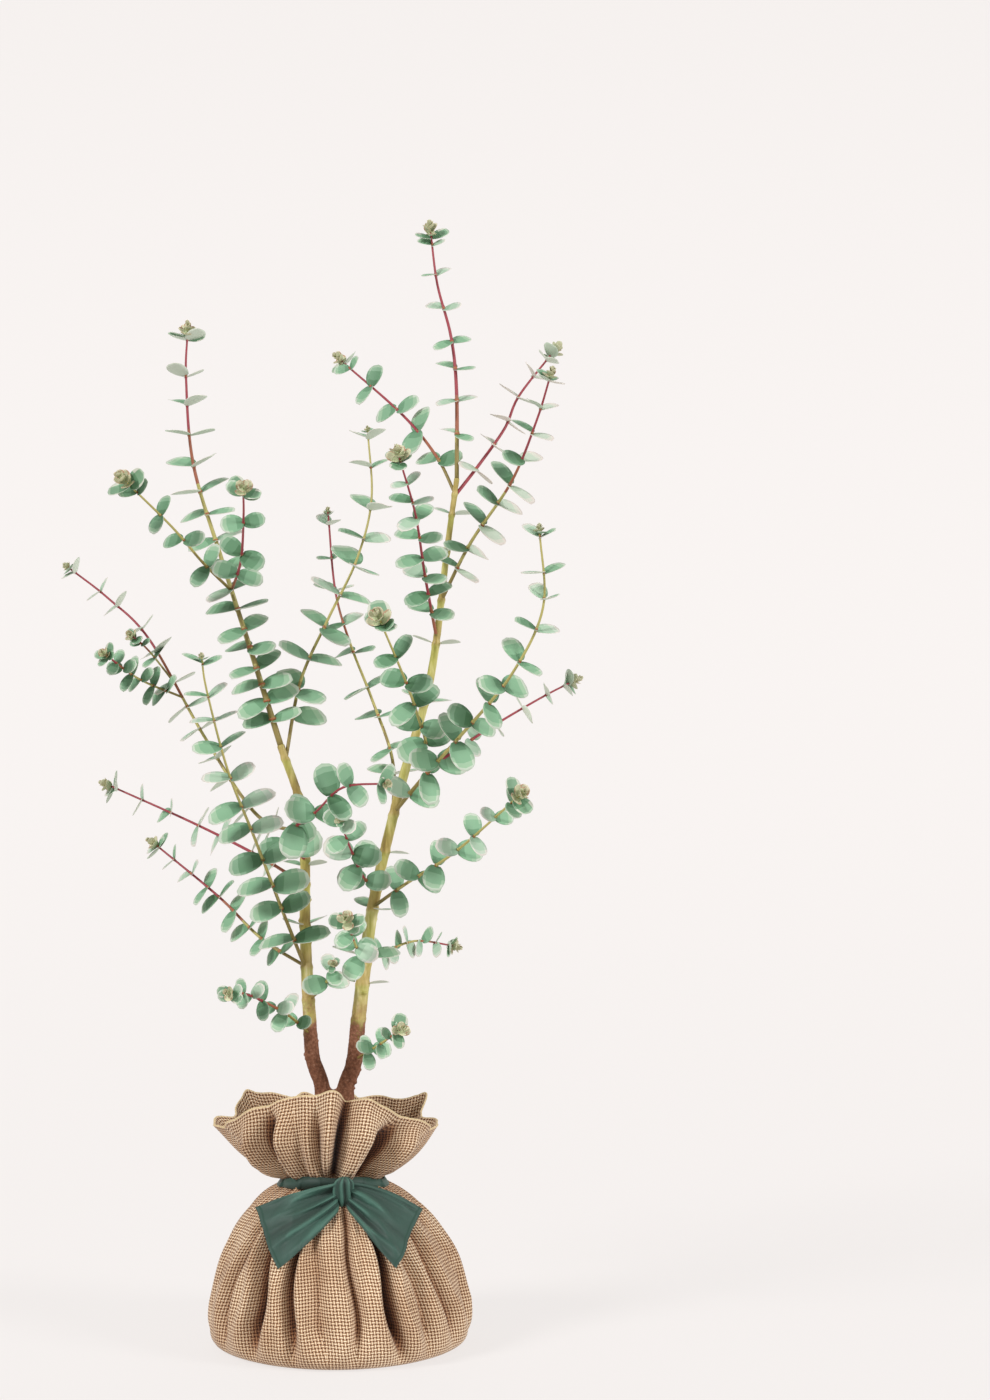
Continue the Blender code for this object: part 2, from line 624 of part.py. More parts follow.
def surface_tree(bm):
    """A search tree of a bmesh's faces, with the middle and reach of its box."""
    places = [v.co for v in bm.verts]
    low = Vector([min(p[i] for p in places) for i in range(3)])
    high = Vector([max(p[i] for p in places) for i in range(3)])
    return BVHTree.FromBMesh(bm), (low + high) / 2, (high - low).length / 2


def tree_of_object(thing):
    """The search tree of a finished object."""
    bm = bmesh.new()
    bm.from_mesh(thing.data)
    found = surface_tree(bm)
    bm.free()
    return found


def touches(candidate, obstacles):
    """True if a shape meets any of the obstacles."""
    tree, middle, reach = candidate
    for other, other_middle, other_reach in obstacles:
        near = (middle - other_middle).length < reach + other_reach
        if near and tree.overlap(other):
            return True
    return False


def placed_leaf(aim, length, obstacles):
    """A leaf's bmesh at its place, turned or made smaller if something is in its way."""
    place, direction, turn, rise = aim
    room_ahead, room_above = LEAF_ROOM
    for shrink in LEAF_SHRINKS:
        for extra_turn in LEAF_TURNS:
            frame = leaf_frame(place, direction, turn + extra_turn, rise)
            larger = flat_leaf_mesh(length * shrink + room_ahead)
            bmesh.ops.scale(larger, vec=(1.0, 1.0, room_above), verts=larger.verts)
            bmesh.ops.transform(larger, matrix=frame, verts=larger.verts)
            is_clear = not touches(surface_tree(larger), obstacles)
            larger.free()
            if is_clear:
                leaf = flat_leaf_mesh(length * shrink)
                bmesh.ops.transform(leaf, matrix=frame, verts=leaf.verts)
                return leaf
    return None


def bud(line):
    """The closed young leaves at the end of a shoot."""
    bm = bmesh.new()
    bmesh.ops.create_uvsphere(bm, u_segments=6, v_segments=3, radius=0.5)
    direction = (line[-1] - line[-2]).normalized()
    turn = direction.to_track_quat("Z", "Y").to_matrix().to_4x4()
    shape = Matrix.Diagonal((*BUD_SIZE, 1.0))
    place = Matrix.Translation(line[-1])
    bmesh.ops.transform(bm, matrix=place @ turn @ shape, verts=bm.verts)
    return bm


def shoot_line(shoot, lines):
    """A shoot's centre line, from inside its stem or its parent shoot to its tip."""
    parent = lines[shoot["on"]]
    if shoot["on"] in STEMS:
        start = at_height(parent, shoot["joint"])
    else:
        start, _ = place_on(parent, shoot["joint"] * lengths_along(parent)[-1])
    return line_through([start, *shoot["through"]], TWIG_STEP)


def twig_radii(shoot, line):
    """A twig's radius at each point, from its foot to its tip."""
    lengths = lengths_along(line)
    return [shoot["twig"] + (TWIG_TIP - shoot["twig"]) * d / lengths[-1] for d in lengths]


def make_twigs(lines, helpers, leaf_green):
    """Every shoot's bare twig, in the order of the list."""
    twigs = {}
    for shoot in SHOOTS:
        line = shoot_line(shoot, lines)
        lines[shoot["name"]] = line
        radii = twig_radii(shoot, line)
        twigs[shoot["name"]] = tube(shoot["name"], line, radii, TWIG_SIDES, helpers, leaf_green)
    return twigs


def mass_of(shoot):
    """The name of the mass that a shoot belongs to: its own or its parent shoot's."""
    return shoot["name"] if shoot["on"] in STEMS else shoot["on"]


def make_masses(lines, limbs, cutters, plant, helpers, leaf_green):
    """Grow the leaves of every shoot, then fuse each mass and cut it clear of its stem."""
    twigs = make_twigs(lines, helpers, leaf_green)
    solids = [("limb", tree_of_object(limb)) for limb in limbs]
    pieces = {mass_of(s): [] for s in SHOOTS}
    for shoot in SHOOTS:
        mass = mass_of(shoot)
        pieces[mass].append(bud(lines[shoot["name"]]))
        solids.append((mass, surface_tree(pieces[mass][-1])))
        solids.append((mass, tree_of_object(twigs[shoot["name"]])))
    for shoot in SHOOTS:
        mass = mass_of(shoot)
        line = lines[shoot["name"]]
        chance = random.Random(f"{SEED} {shoot['name']}")
        for distance, length, turn, rise in leaf_nodes(shoot, line, chance):
            for step, half_turn in ((0.0, 0.0), (PAIR_STEP, math.pi)):
                place, direction = place_on(line, distance - step)
                others = [tree for owner, tree in solids if owner != mass]
                aim = (place, direction, turn + half_turn, rise)
                leaf = placed_leaf(aim, length, others)
                if leaf:
                    solids.append((mass, surface_tree(leaf)))
                    pieces[mass].append(leaf)
    for mass, shapes in pieces.items():
        fuse_mass(mass, twigs, shapes, cutters, plant, leaf_green)


def fuse_mass(mass, twigs, shapes, cutters, plant, leaf_green):
    """One Boolean union joins a mass's side twigs, leaves and buds to its main twig."""
    loose = bpy.data.collections.new("loose_" + mass)
    bpy.context.scene.collection.children.link(loose)
    for i, bm in enumerate(shapes):
        mesh_object(f"{mass}_piece_{i}", mesh_from(bm, mass), loose, leaf_green)
    for shoot in SHOOTS:
        if mass_of(shoot) == mass and shoot["name"] != mass:
            move_to(twigs[shoot["name"]], loose)
    main = twigs[mass]
    move_to(main, plant)
    boolean(main, "UNION", loose)
    for piece in list(loose.objects):
        bpy.data.objects.remove(piece)
    bpy.data.collections.remove(loose)
    stem = next(s["on"] for s in SHOOTS if s["name"] == mass)
    boolean(main, "DIFFERENCE", cutters[stem])


def build():
    """Make every piece of the plant."""
    plant, helpers = clear_scene()
    cloth = material("burlap", (0.55, 0.38, 0.22), 0.95)
    ribbon = material("green_cotton", (0.045, 0.14, 0.105), 0.8)
    bark = material("young_bark", (0.30, 0.19, 0.10), 0.8)
    leaf_green = material("waxy_leaf", (0.16, 0.34, 0.23), 0.65)

    make_sack_body(plant, cloth)
    make_sack_collar(plant, cloth)
    make_ribbon(plant, helpers, ribbon)
    trunk = make_trunk(plant, bark)

    lines = {}
    limbs = [trunk]
    cutters = {}
    for name, stem in (("left_stem", LEFT_STEM), ("right_stem", RIGHT_STEM)):
        line = stem_line(stem)
        radii = stem_radii(stem, line)
        lines[name] = line
        limbs.append(tube(name, line, radii, STEM_SIDES, plant, bark))
        wider = [radius + GAP for radius in radii]
        cutter = tube(name + "_cutter", longer_line(line, GAP), wider, STEM_SIDES, helpers, bark)
        cutters[name] = as_cutter(cutter)
    make_masses(lines, limbs, cutters, plant, helpers, leaf_green)
    for cutter in cutters.values():
        bpy.data.objects.remove(cutter)


build()
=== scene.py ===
"""A young silver-leaved gum tree with two stems, its root ball tied up in a burlap sack.

Units are metres and +Z is up. The sack stands on the origin and its knot faces -Y. Angles round
the sack and round its open ruffle are measured from the front, and grow towards +X.
"""

import math
import random

import bmesh
import bpy
import numpy as np
from mathutils import Matrix, Vector, noise
from mathutils.bvhtree import BVHTree


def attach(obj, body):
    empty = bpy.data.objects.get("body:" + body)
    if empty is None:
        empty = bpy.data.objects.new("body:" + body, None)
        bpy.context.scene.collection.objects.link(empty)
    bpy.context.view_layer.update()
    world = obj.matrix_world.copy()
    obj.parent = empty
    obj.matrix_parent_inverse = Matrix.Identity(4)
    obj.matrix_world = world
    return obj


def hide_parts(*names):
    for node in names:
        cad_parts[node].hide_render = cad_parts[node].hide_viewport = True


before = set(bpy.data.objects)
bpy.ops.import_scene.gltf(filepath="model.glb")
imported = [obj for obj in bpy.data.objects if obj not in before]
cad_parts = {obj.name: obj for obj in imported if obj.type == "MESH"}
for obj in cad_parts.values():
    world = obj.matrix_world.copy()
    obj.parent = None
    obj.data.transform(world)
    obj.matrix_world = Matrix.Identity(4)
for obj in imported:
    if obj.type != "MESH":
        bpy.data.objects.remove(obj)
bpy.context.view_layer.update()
bpy.ops.object.select_all(action="DESELECT")


# ---- The root ball in its sack
#
# A ball of soil and roots is wrapped in a square of burlap: a coarse, open plain weave of spun
# jute yarn. The cloth is drawn up round the ball, falls into deep folds and is tied at the neck.

NECK_X = -0.005  # the sack is tied a little to the left
NECK_Z = 0.1465
NECK_R = 0.037
SACK_PROFILE = (  # half width, height
    (0.0995, 0.0000), (0.1095, 0.0045), (0.1140, 0.0160), (0.1120, 0.0370), (0.1065, 0.0610),
    (0.0990, 0.0830), (0.0880, 0.1030), (0.0740, 0.1200), (0.0605, 0.1320), (0.0460, 0.1410),
    (NECK_R, NECK_Z),
)
SACK_SIDES = 480
CLOTH_STEP = 0.0030  # cloth between two rings of the mesh
SACK_FOLDS = (  # angle half way up, how far it drifts from neck to foot, depth and half width
    (-76, -20, 0.0045, 0.0065), (-55, -14, 0.0085, 0.0062), (-36, -4, 0.0170, 0.0064),
    (-20, 3, 0.0125, 0.0046), (-8, 12, 0.0050, 0.0066), (10, 2, 0.0090, 0.0042),
    (27, 8, 0.0180, 0.0055), (41, 15, 0.0062, 0.0050), (57, 17, 0.0085, 0.0068),
    (80, 18, 0.0045, 0.0085),
)
BACK_FOLDS = range(92, 270, 15)  # angles of the folds behind, each moved a little by chance
BACK_FOLD_DEEP = (0.003, 0.009)
BACK_FOLD_WIDE = 0.0062
FOLD_FOOT = (0.002, 0.035)  # height where folds start, and the height over which they grow
FOLD_FADE = 0.72  # share of its depth that a fold has lost at the neck
FOLD_WIDTHS = (1.25, 0.50)  # its half width at the foot and at the neck, of the one half way up
FOLD_SWAY = (0.0022, 70)  # how far a fold sways off its line, and how fast in radians a metre
FOLD_RIDGES = (2.1, 1.1, 0.42)  # place, width and height of its ridges beside its valley's
FOLD_SHADE_DEPTH = 0.012  # depth at which a fold's painted shade is full
PINCH_START = 0.62  # share of the sack's height above which the tie pinches it
GATHER_COUNT = 38  # small pleats in the neck
GATHER_DEPTH = 0.0021
LUMPS = (0.0022, 22)  # height of the ball's lumps under the cloth, and lumps a metre


def smooth_line(points, step):
    """Points about `step` apart on a smooth line through the given ones."""
    points = [Vector(p) for p in points]
    ends = [points[0] * 2 - points[1], *points, points[-1] * 2 - points[-2]]
    line = [points[0]]
    for a, b, c, d in zip(ends, ends[1:], ends[2:], ends[3:]):
        pieces = max(1, round((c - b).length / step))
        for i in range(1, pieces + 1):
            t = i / pieces
            bend = (2 * a - 5 * b + 4 * c - d) * t**2 + (3 * b - a - 3 * c + d) * t**3
            line.append((2 * b + (c - a) * t + bend) / 2)
    return line


def lengths_along(line):
    """The distance of each point from the line's start."""
    total = [0.0]
    for a, b in zip(line, line[1:]):
        total.append(total[-1] + (b - a).length)
    return total


def select_only(piece):
    """Deselect everything and make one piece the selected and active one."""
    bpy.ops.object.select_all(action="DESELECT")
    piece.select_set(True)
    bpy.context.view_layer.objects.active = piece


def turned_cloth(name, profile, closed):
    """A ring of cloth drawn up from its foot, ring by ring, by extruding and widening it."""
    foot = profile[0]
    bpy.ops.mesh.primitive_circle_add(
        vertices=SACK_SIDES, radius=foot.x, location=(0, 0, foot.z),
        fill_type="NGON" if closed else "NOTHING",
    )
    piece = bpy.context.object
    piece.name = name
    bpy.ops.object.mode_set(mode="EDIT")
    bpy.ops.mesh.select_all(action="SELECT")
    for lower, upper in zip(profile, profile[1:]):
        rise = {"value": (0, 0, upper.z - lower.z)}
        if closed:
            bpy.ops.mesh.extrude_region_move(TRANSFORM_OT_translate=rise)
        else:
            bpy.ops.mesh.extrude_edges_move(TRANSFORM_OT_translate=rise)
        wider = upper.x / lower.x
        bpy.ops.transform.resize(value=(wider, wider, 1), center_override=(0, 0, upper.z))
    bpy.ops.object.mode_set(mode="OBJECT")
    bpy.ops.object.transform_apply(location=True, rotation=True, scale=True)
    return piece


def angle_from_front(point):
    """The angle of a point round the upright axis, 0 at the front and growing towards +X."""
    return math.atan2(point.x, -point.y)


def crease(off_line, half_width):
    """A fold's cross-section: 1 in its narrow valley, a little below 0 on its two ridges."""
    place, wide, tall = FOLD_RIDGES
    valley = math.exp(-((off_line / half_width) ** 2))
    ridges = math.exp(-(((abs(off_line) - place * half_width) / (wide * half_width)) ** 2))
    return valley - tall * ridges


def turn_between(a, b):
    """The shortest turn from angle b to angle a."""
    return (a - b + math.pi) % (2 * math.pi) - math.pi


def all_round_folds():
    """The folds in front and the ones behind, as angle, drift, depth and half width."""
    chance = random.Random(7)
    folds = [(math.radians(a), math.radians(d), deep, wide) for a, d, deep, wide in SACK_FOLDS]
    for place in BACK_FOLDS:
        angle = math.radians(place + chance.uniform(-4, 4))
        drift = math.radians(chance.uniform(-8, 8))
        deep = chance.uniform(*BACK_FOLD_DEEP)
        folds.append((turn_between(angle, 0), drift, deep, BACK_FOLD_WIDE))
    return sorted(folds)


def fold_angle(fold, height):
    """Where a fold runs at a height. Folds lean outwards as they fall from the neck."""
    return fold[0] + fold[1] * (0.5 - height / NECK_Z)


def shape_sack(sack, folds):
    """Press the folds and the small pleats of the neck into the turned cloth.

    The attribute `folded` grows from 0 on open cloth to 1 at the bottom of a deep fold, and
    rises towards the tie. The burlap is darkened by it with painted shade.
    """
    folded = sack.data.attributes.new("folded", "FLOAT", "POINT")
    start, grown_over = FOLD_FOOT
    sway, sway_rate = FOLD_SWAY
    lump_tall, lump_rate = LUMPS
    for v in sack.data.vertices:
        height = v.co.z
        angle = angle_from_front(v.co)
        radius = math.hypot(v.co.x, v.co.y)
        up = height / NECK_Z
        grown = min(max((height - start) / grown_over, 0.0), 1.0) * (1 - FOLD_FADE * up**4)
        wider = FOLD_WIDTHS[0] + (FOLD_WIDTHS[1] - FOLD_WIDTHS[0]) * up
        inward = 0.0
        for fold in folds:
            place, _, deep, wide = fold
            off_line = turn_between(angle, fold_angle(fold, height)) * radius
            off_line += sway * math.sin(sway_rate * height + 9 * place)
            inward += deep * grown * crease(off_line, wide * wider)
        pinch = max(up - PINCH_START, 0.0) / (1 - PINCH_START)
        # `folded` carries painted shade: deep in a fold, and growing towards the tie under the
        # ruffle.
        folded.data[v.index].value = max(inward - 0.001, 0.0) / FOLD_SHADE_DEPTH + 0.35 * pinch
        wander = 0.8 * math.sin(3 * angle) + 0.5 * math.sin(5 * angle + 1)
        inward += GATHER_DEPTH * pinch * math.cos(GATHER_COUNT * angle + wander)
        lump = noise.noise(Vector((v.co.x, v.co.y, height * 1.4)) * lump_rate) * lump_tall
        inward -= lump * min(height / 0.02, 1.0) * (1 - up)
        share = (radius - inward) / radius
        v.co.x = v.co.x * share + NECK_X * up**2
        v.co.y *= share


def lay_weave(piece, angles, levels, along, valleys_at):
    """Lay the weave on ring-built cloth, in metres, as the piece's UV map.

    Upright threads run straight down the middle of each panel between two valleys and are
    swallowed in the valleys, as in cloth that is gathered. `valleys_at` gives the angles of
    the valleys at a level, and `along` the length of cloth up to each level.
    """
    mesh = piece.data
    rings = {}
    for v in mesh.vertices:
        rings.setdefault(levels[v.index], []).append(v.index)
    run = {}
    sizes = {}
    for level, ring in rings.items():
        ring.sort(key=lambda i: angles[i])
        total = 0.0
        for a, b in zip(ring, ring[1:] + ring[:1]):
            run[a] = total
            total += (mesh.vertices[a].co - mesh.vertices[b].co).length
        sizes[level] = total

    def length_at(level, angle):
        ring = rings[level]
        place = (angle - angles[ring[0]]) / (2 * math.pi) * len(ring) % len(ring)
        before = int(place)
        after = run[ring[before + 1]] if before + 1 < len(ring) else sizes[level]
        return run[ring[before]] + (place - before) * (after - run[ring[before]])

    middles = {}
    for level in rings:
        valleys = valleys_at(level)
        ends = valleys[1:] + [valleys[0] + 2 * math.pi]
        middles[level] = [
            (a, length_at(level, turn_between((a + b) / 2, 0))) for a, b in zip(valleys, ends)]
    weave = mesh.uv_layers.new(name="weave")
    for face in mesh.polygons:
        corners = list(face.vertices)
        level = min(levels[i] for i in corners)
        sines = sum(math.sin(angles[i]) for i in corners)
        cosines = sum(math.cos(angles[i]) for i in corners)
        angle = math.atan2(sines, cosines)
        starts = [a for a, _ in middles[level]]
        panel = max((k for k, a in enumerate(starts) if a <= angle), default=len(starts) - 1)
        for loop, i in zip(face.loop_indices, corners):
            size = sizes[levels[i]]
            across = run[i] - middles[levels[i]][panel][1]
            across = (across + size / 2) % size - size / 2
            weave.data[loop].uv = (across, along[levels[i]])


profile_line = smooth_line([(r, 0, z) for r, z in SACK_PROFILE], CLOTH_STEP)
sack = turned_cloth("burlap_sack", profile_line, closed=True)
sack_folds = all_round_folds()
sack_heights = [p.z for p in profile_line]
sack_angles = [angle_from_front(v.co) for v in sack.data.vertices]
sack_levels = [int(np.abs(np.array(sack_heights) - v.co.z).argmin()) for v in sack.data.vertices]
shape_sack(sack, sack_folds)
lay_weave(
    sack, sack_angles, sack_levels, lengths_along(profile_line),
    lambda level: sorted(turn_between(fold_angle(f, sack_heights[level]), 0) for f in sack_folds),
)
select_only(sack)
bpy.ops.object.shade_smooth()


def linear(code):
    """An sRGB hex colour as linear red, green, blue and alpha."""
    parts = [int(code[i:i + 2], 16) / 255 for i in (1, 3, 5)]
    return (*(p / 12.92 if p <= 0.04045 else ((p + 0.055) / 1.055) ** 2.4 for p in parts), 1.0)


def add_node(tree, kind, inputs=None, stops=(), **settings):
    """Add a shader node. An input is a plain value, an output, or a node for its first output.

    `stops` are the positions and sRGB hex colours of a colour ramp.
    """
    node = tree.nodes.new("ShaderNode" + kind)
    for name, value in settings.items():
        setattr(node, name, value)
    while stops and len(node.color_ramp.elements) < len(stops):
        node.color_ramp.elements.new(0.5)
    for k, (position, code) in enumerate(stops):
        node.color_ramp.elements[k].position = position
        node.color_ramp.elements[k].color = linear(code)
    for name, value in (inputs or {}).items():
        if isinstance(value, bpy.types.Node):
            value = value.outputs[0]
        if isinstance(value, bpy.types.NodeSocket):
            tree.links.new(value, node.inputs[name])
        else:
            node.inputs[name].default_value = value
    return node


def new_material(name):
    """An empty material, with its node tree."""
    made = bpy.data.materials.new(name)
    made.use_nodes = True
    made.node_tree.nodes.clear()
    return made, made.node_tree


# Burlap is matt and hairy: pale round yarns cross over and under each other, with dark square
# holes between them. Its colour follows the yarns' height, with painted shade in the dips and
# painted highlight on the crests. Deep in a fold and near the tie it is darker with painted
# shade. Real yarns lie 2 mm apart. They are drawn 2.9 mm apart, so that they show.
YARN_PITCH = 0.0029
YARN_WANDER = 0.00042  # how far a yarn strays from its line
YARN_DIP = 0.26  # how much lower it lies where it runs under another

burlap, tree = new_material("spun_jute_burlap")
place = add_node(tree, "TexCoord")
weave = add_node(tree, "UVMap", uv_map="weave")
slubs = add_node(tree, "TexNoise", {
    "Vector": place.outputs["Object"], "Scale": 130.0, "Detail": 2.0})
off = add_node(
    tree, "VectorMath",
    {0: slubs.outputs["Color"], 1: (YARN_WANDER,) * 3, 2: (-YARN_WANDER / 2,) * 3},
    operation="MULTIPLY_ADD")
moved = add_node(tree, "VectorMath", {0: weave, 1: off}, operation="ADD")
turns = add_node(
    tree, "VectorMath", {0: moved, "Scale": math.pi / YARN_PITCH}, operation="SCALE")
waves = add_node(tree, "VectorMath", {0: turns}, operation="SINE")
crests = add_node(tree, "VectorMath", {0: waves}, operation="ABSOLUTE")
signed = add_node(tree, "SeparateXYZ", {"Vector": waves})
yarns = add_node(tree, "SeparateXYZ", {"Vector": crests})
over = add_node(
    tree, "Math", {0: signed.outputs["X"], 1: signed.outputs["Y"]}, operation="MULTIPLY")
warp_and_weft = []
for axis, dip in (("X", YARN_DIP), ("Y", -YARN_DIP)):
    lift = add_node(tree, "Math", {0: over, 1: dip, 2: 1 - YARN_DIP}, operation="MULTIPLY_ADD")
    inputs = {0: yarns.outputs[axis], 1: lift}
    warp_and_weft.append(add_node(tree, "Math", inputs, operation="MULTIPLY"))
height = add_node(tree, "Math", dict(enumerate(warp_and_weft)), operation="MAXIMUM")
# Painted shade and highlight: the colour follows the yarns' height, from the dark holes and the
# dips darkened with painted shade to the crests paled to cream with painted highlight.
colour = add_node(
    tree, "ValToRGB", {"Fac": height},
    stops=((0.24, "#422618"), (0.46, "#845c3e"), (0.68, "#c59e76"), (0.93, "#fbebd0")))
stain = add_node(tree, "TexNoise", {
    "Vector": place.outputs["Object"], "Scale": 26.0, "Detail": 3.0})
tone = add_node(tree, "ValToRGB", {"Fac": stain}, stops=((0.30, "#dccfc4"), (0.70, "#ffffff")))
stained = add_node(
    tree, "Mix", {"Factor": 1.0, 6: colour, 7: tone}, data_type="RGBA", blend_type="MULTIPLY")
# Painted shade: the burlap is darkened where `folded` is high, deep in folds and near the tie.
folded = add_node(tree, "Attribute", attribute_name="folded")
painted_fold_shade = add_node(
    tree, "ValToRGB", {"Fac": folded.outputs["Fac"]},
    stops=((0.15, "#ffffff"), (0.55, "#c0a28c"), (0.95, "#7c5840")))
stained_and_shaded = add_node(
    tree, "Mix", {"Factor": 1.0, 6: stained.outputs[2], 7: painted_fold_shade},
    data_type="RGBA", blend_type="MULTIPLY")
bump = add_node(tree, "Bump", {"Height": height, "Strength": 0.7, "Distance": 0.0008})
shader = add_node(tree, "BsdfPrincipled", {
    "Base Color": stained_and_shaded.outputs[2], "Roughness": 0.92, "Normal": bump,
    "Sheen Weight": 0.15, "Sheen Roughness": 0.5})
add_node(tree, "OutputMaterial", {"Surface": shader})
sack.data.materials.append(burlap)
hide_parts("sack_body")
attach(sack, "root")


# ---- The trunk and its two stems
#
# The young gum forks just above its root ball. Its oldest bark is brown, rough and warty. Higher
# up the stems it is smooth and olive yellow, ringed where leaves and shoots grow or have grown.

TRUNK_PATH = ((-0.004, 0.0, 0.1480), (-0.004, 0.0, 0.1850), (-0.004, 0.0, 0.2240))
TRUNK_RADII = (0.0190, 0.0130, 0.0122, 0.0090, 0.0042)  # at TRUNK_SHARES of its height
TRUNK_SHARES = (0.0, 0.50, 0.72, 0.88, 1.0)
FORK_Z = 0.2248
LEFT_STEM = (
    (-0.014, 0.0, FORK_Z), (-0.0212, 0.0, 0.247), (-0.024, 0.0, 0.267), (-0.029, 0.005, 0.360),
    (-0.031, 0.011, 0.460), (-0.051, 0.018, 0.525),
)
RIGHT_STEM = (
    (0.006, 0.0, FORK_Z), (0.0137, -0.002, 0.248), (0.0182, -0.004, 0.290),
    (0.031, -0.008, 0.387), (0.055, -0.012, 0.490), (0.081, -0.011, 0.585),
    (0.096, -0.008, 0.700), (0.104, -0.005, 0.758),
)
STEM_RADII = {"left_stem": (0.0070, 0.0052, 0.0034), "right_stem": (0.0074, 0.0048, 0.0024)}
STEM_MIDDLE = 0.35  # share of its length where a stem has its middle radius
STEM_ROOT = (-0.004, 0.0, 0.196)  # where both stems start inside the trunk
STEM_BEND = 0.212  # height where they bend apart in it
RUN_IN = 0.03  # length below the fork over which a stem's line starts upright
LIMB_STEP = 0.006
LIMB_ROUNDNESS = 6
TRUNK_DEPTH = 0.86  # the trunk's, of its width
BARK_VOXEL = 0.00085
SOFT_FORK = (0.214, 0.026)  # middle and half height of the stretch where the fork is softened
ROUGH_BARK_TOP = (0.260, 0.326)  # heights where the rough bark starts to go and is gone
STEM_NODES = {  # heights of the rings
    "left_stem": (0.272, 0.302, 0.331, 0.367, 0.403, 0.425, 0.449, 0.481, 0.512),
    "right_stem": (0.250, 0.286, 0.317, 0.335, 0.383, 0.401, 0.433, 0.466, 0.519, 0.563,
                   0.614, 0.652, 0.694, 0.726, 0.744),
}
RING = (0.00055, 0.0022)  # its height and half width
ABOVE_RING = (-0.002, 0.002, 0.006, 0.030)  # from where the bark over it turns tan, to where not
RING_GROOVE = (0.00020, 0.0020, 0.0045)  # depth, half width and place of the groove over it
OLD_RELIEF = (0.00055, 0.00022)  # depth of the streaks and of the grain
YOUNG_RELIEF = (0.00010, 0.00003)
WART_COUNT = 46
WART_REACH = 0.175  # how far above the fork they grow
WART_TALL = (0.0007, 0.0016)
WART_WIDE = (0.0012, 0.0022)


def stem_radius(name, share):
    """A stem's radius at a share of its length."""
    foot, middle, tip = STEM_RADII[name]
    if share < STEM_MIDDLE:
        return foot + (middle - foot) * share / STEM_MIDDLE
    return middle + (tip - middle) * (share - STEM_MIDDLE) / (1 - STEM_MIDDLE)


def round_limb(name, line, radii, roundness):
    """A closed round limb along a line, swept as a curve and made a mesh."""
    curve = bpy.data.curves.new(name, "CURVE")
    curve.dimensions = "3D"
    curve.bevel_depth = 1.0
    curve.bevel_resolution = roundness
    curve.use_fill_caps = True
    path = curve.splines.new("POLY")
    path.points.add(len(line) - 1)
    for point, place, radius in zip(path.points, line, radii):
        point.co = (*place, 1.0)
        point.radius = radius
    limb = bpy.data.objects.new(name, curve)
    bpy.context.scene.collection.objects.link(limb)
    select_only(limb)
    bpy.ops.object.convert(target="MESH")
    bpy.ops.object.mode_set(mode="EDIT")
    bpy.ops.mesh.select_all(action="SELECT")
    bpy.ops.mesh.remove_doubles(threshold=0.00001)
    bpy.ops.mesh.normals_make_consistent(inside=False)
    bpy.ops.object.mode_set(mode="OBJECT")
    return limb


def stem_line(points):
    """A stem's centre line above the fork, which starts upright."""
    upright = Vector(points[0]) - Vector((0.0, 0.0, RUN_IN))
    return smooth_line([upright, *points], LIMB_STEP)[round(RUN_IN / LIMB_STEP):]


stem_lines = {"left_stem": stem_line(LEFT_STEM), "right_stem": stem_line(RIGHT_STEM)}
stem_sides = {
    name: ([p.z for p in line], [p.x for p in line]) for name, line in stem_lines.items()}
trunk_line = smooth_line(TRUNK_PATH, LIMB_STEP)
trunk_radii = np.interp(np.linspace(0, 1, len(trunk_line)), TRUNK_SHARES, TRUNK_RADII)
limbs = [round_limb("trunk_bark", trunk_line, trunk_radii, LIMB_ROUNDNESS)]
limbs[0].scale = (1.0, TRUNK_DEPTH, 1.0)
for name, line in stem_lines.items():
    lengths = lengths_along(line)
    radii = [stem_radius(name, d / lengths[-1]) for d in lengths]
    bend = (line[0].x * 0.9, 0, STEM_BEND)
    into_trunk = smooth_line([STEM_ROOT, bend, line[0]], LIMB_STEP)[:-1]
    radii = [radii[0] * 1.04] * len(into_trunk) + radii
    limbs.append(round_limb(name, into_trunk + line, radii, LIMB_ROUNDNESS))

bpy.ops.object.select_all(action="DESELECT")
for limb in limbs:
    limb.select_set(True)
bark = limbs[0]
bpy.context.view_layer.objects.active = bark
bpy.ops.object.join()
bpy.ops.object.transform_apply(location=True, rotation=True, scale=True)
one_skin = bark.modifiers.new("one_skin", "REMESH")
one_skin.mode = "VOXEL"
one_skin.voxel_size = BARK_VOXEL
bpy.ops.object.modifier_apply(modifier="one_skin")
fork = bark.vertex_groups.new(name="fork")
for v in bark.data.vertices:
    near_fork = max(0.0, 1 - abs(v.co.z - SOFT_FORK[0]) / SOFT_FORK[1])
    fork.add([v.index], min(1.0, 2 * near_fork) + 0.12, "REPLACE")
soften = bark.modifiers.new("soften_fork", "SMOOTH")
soften.factor = 0.6
soften.iterations = 22
soften.vertex_group = "fork"
bpy.ops.object.modifier_apply(modifier="soften_fork")
bark.vertex_groups.clear()


def ease(low, high, value):
    """A smooth step from 0 at the low value to 1 at the high one."""
    share = min(max((value - low) / (high - low), 0.0), 1.0)
    return share * share * (3 - 2 * share)


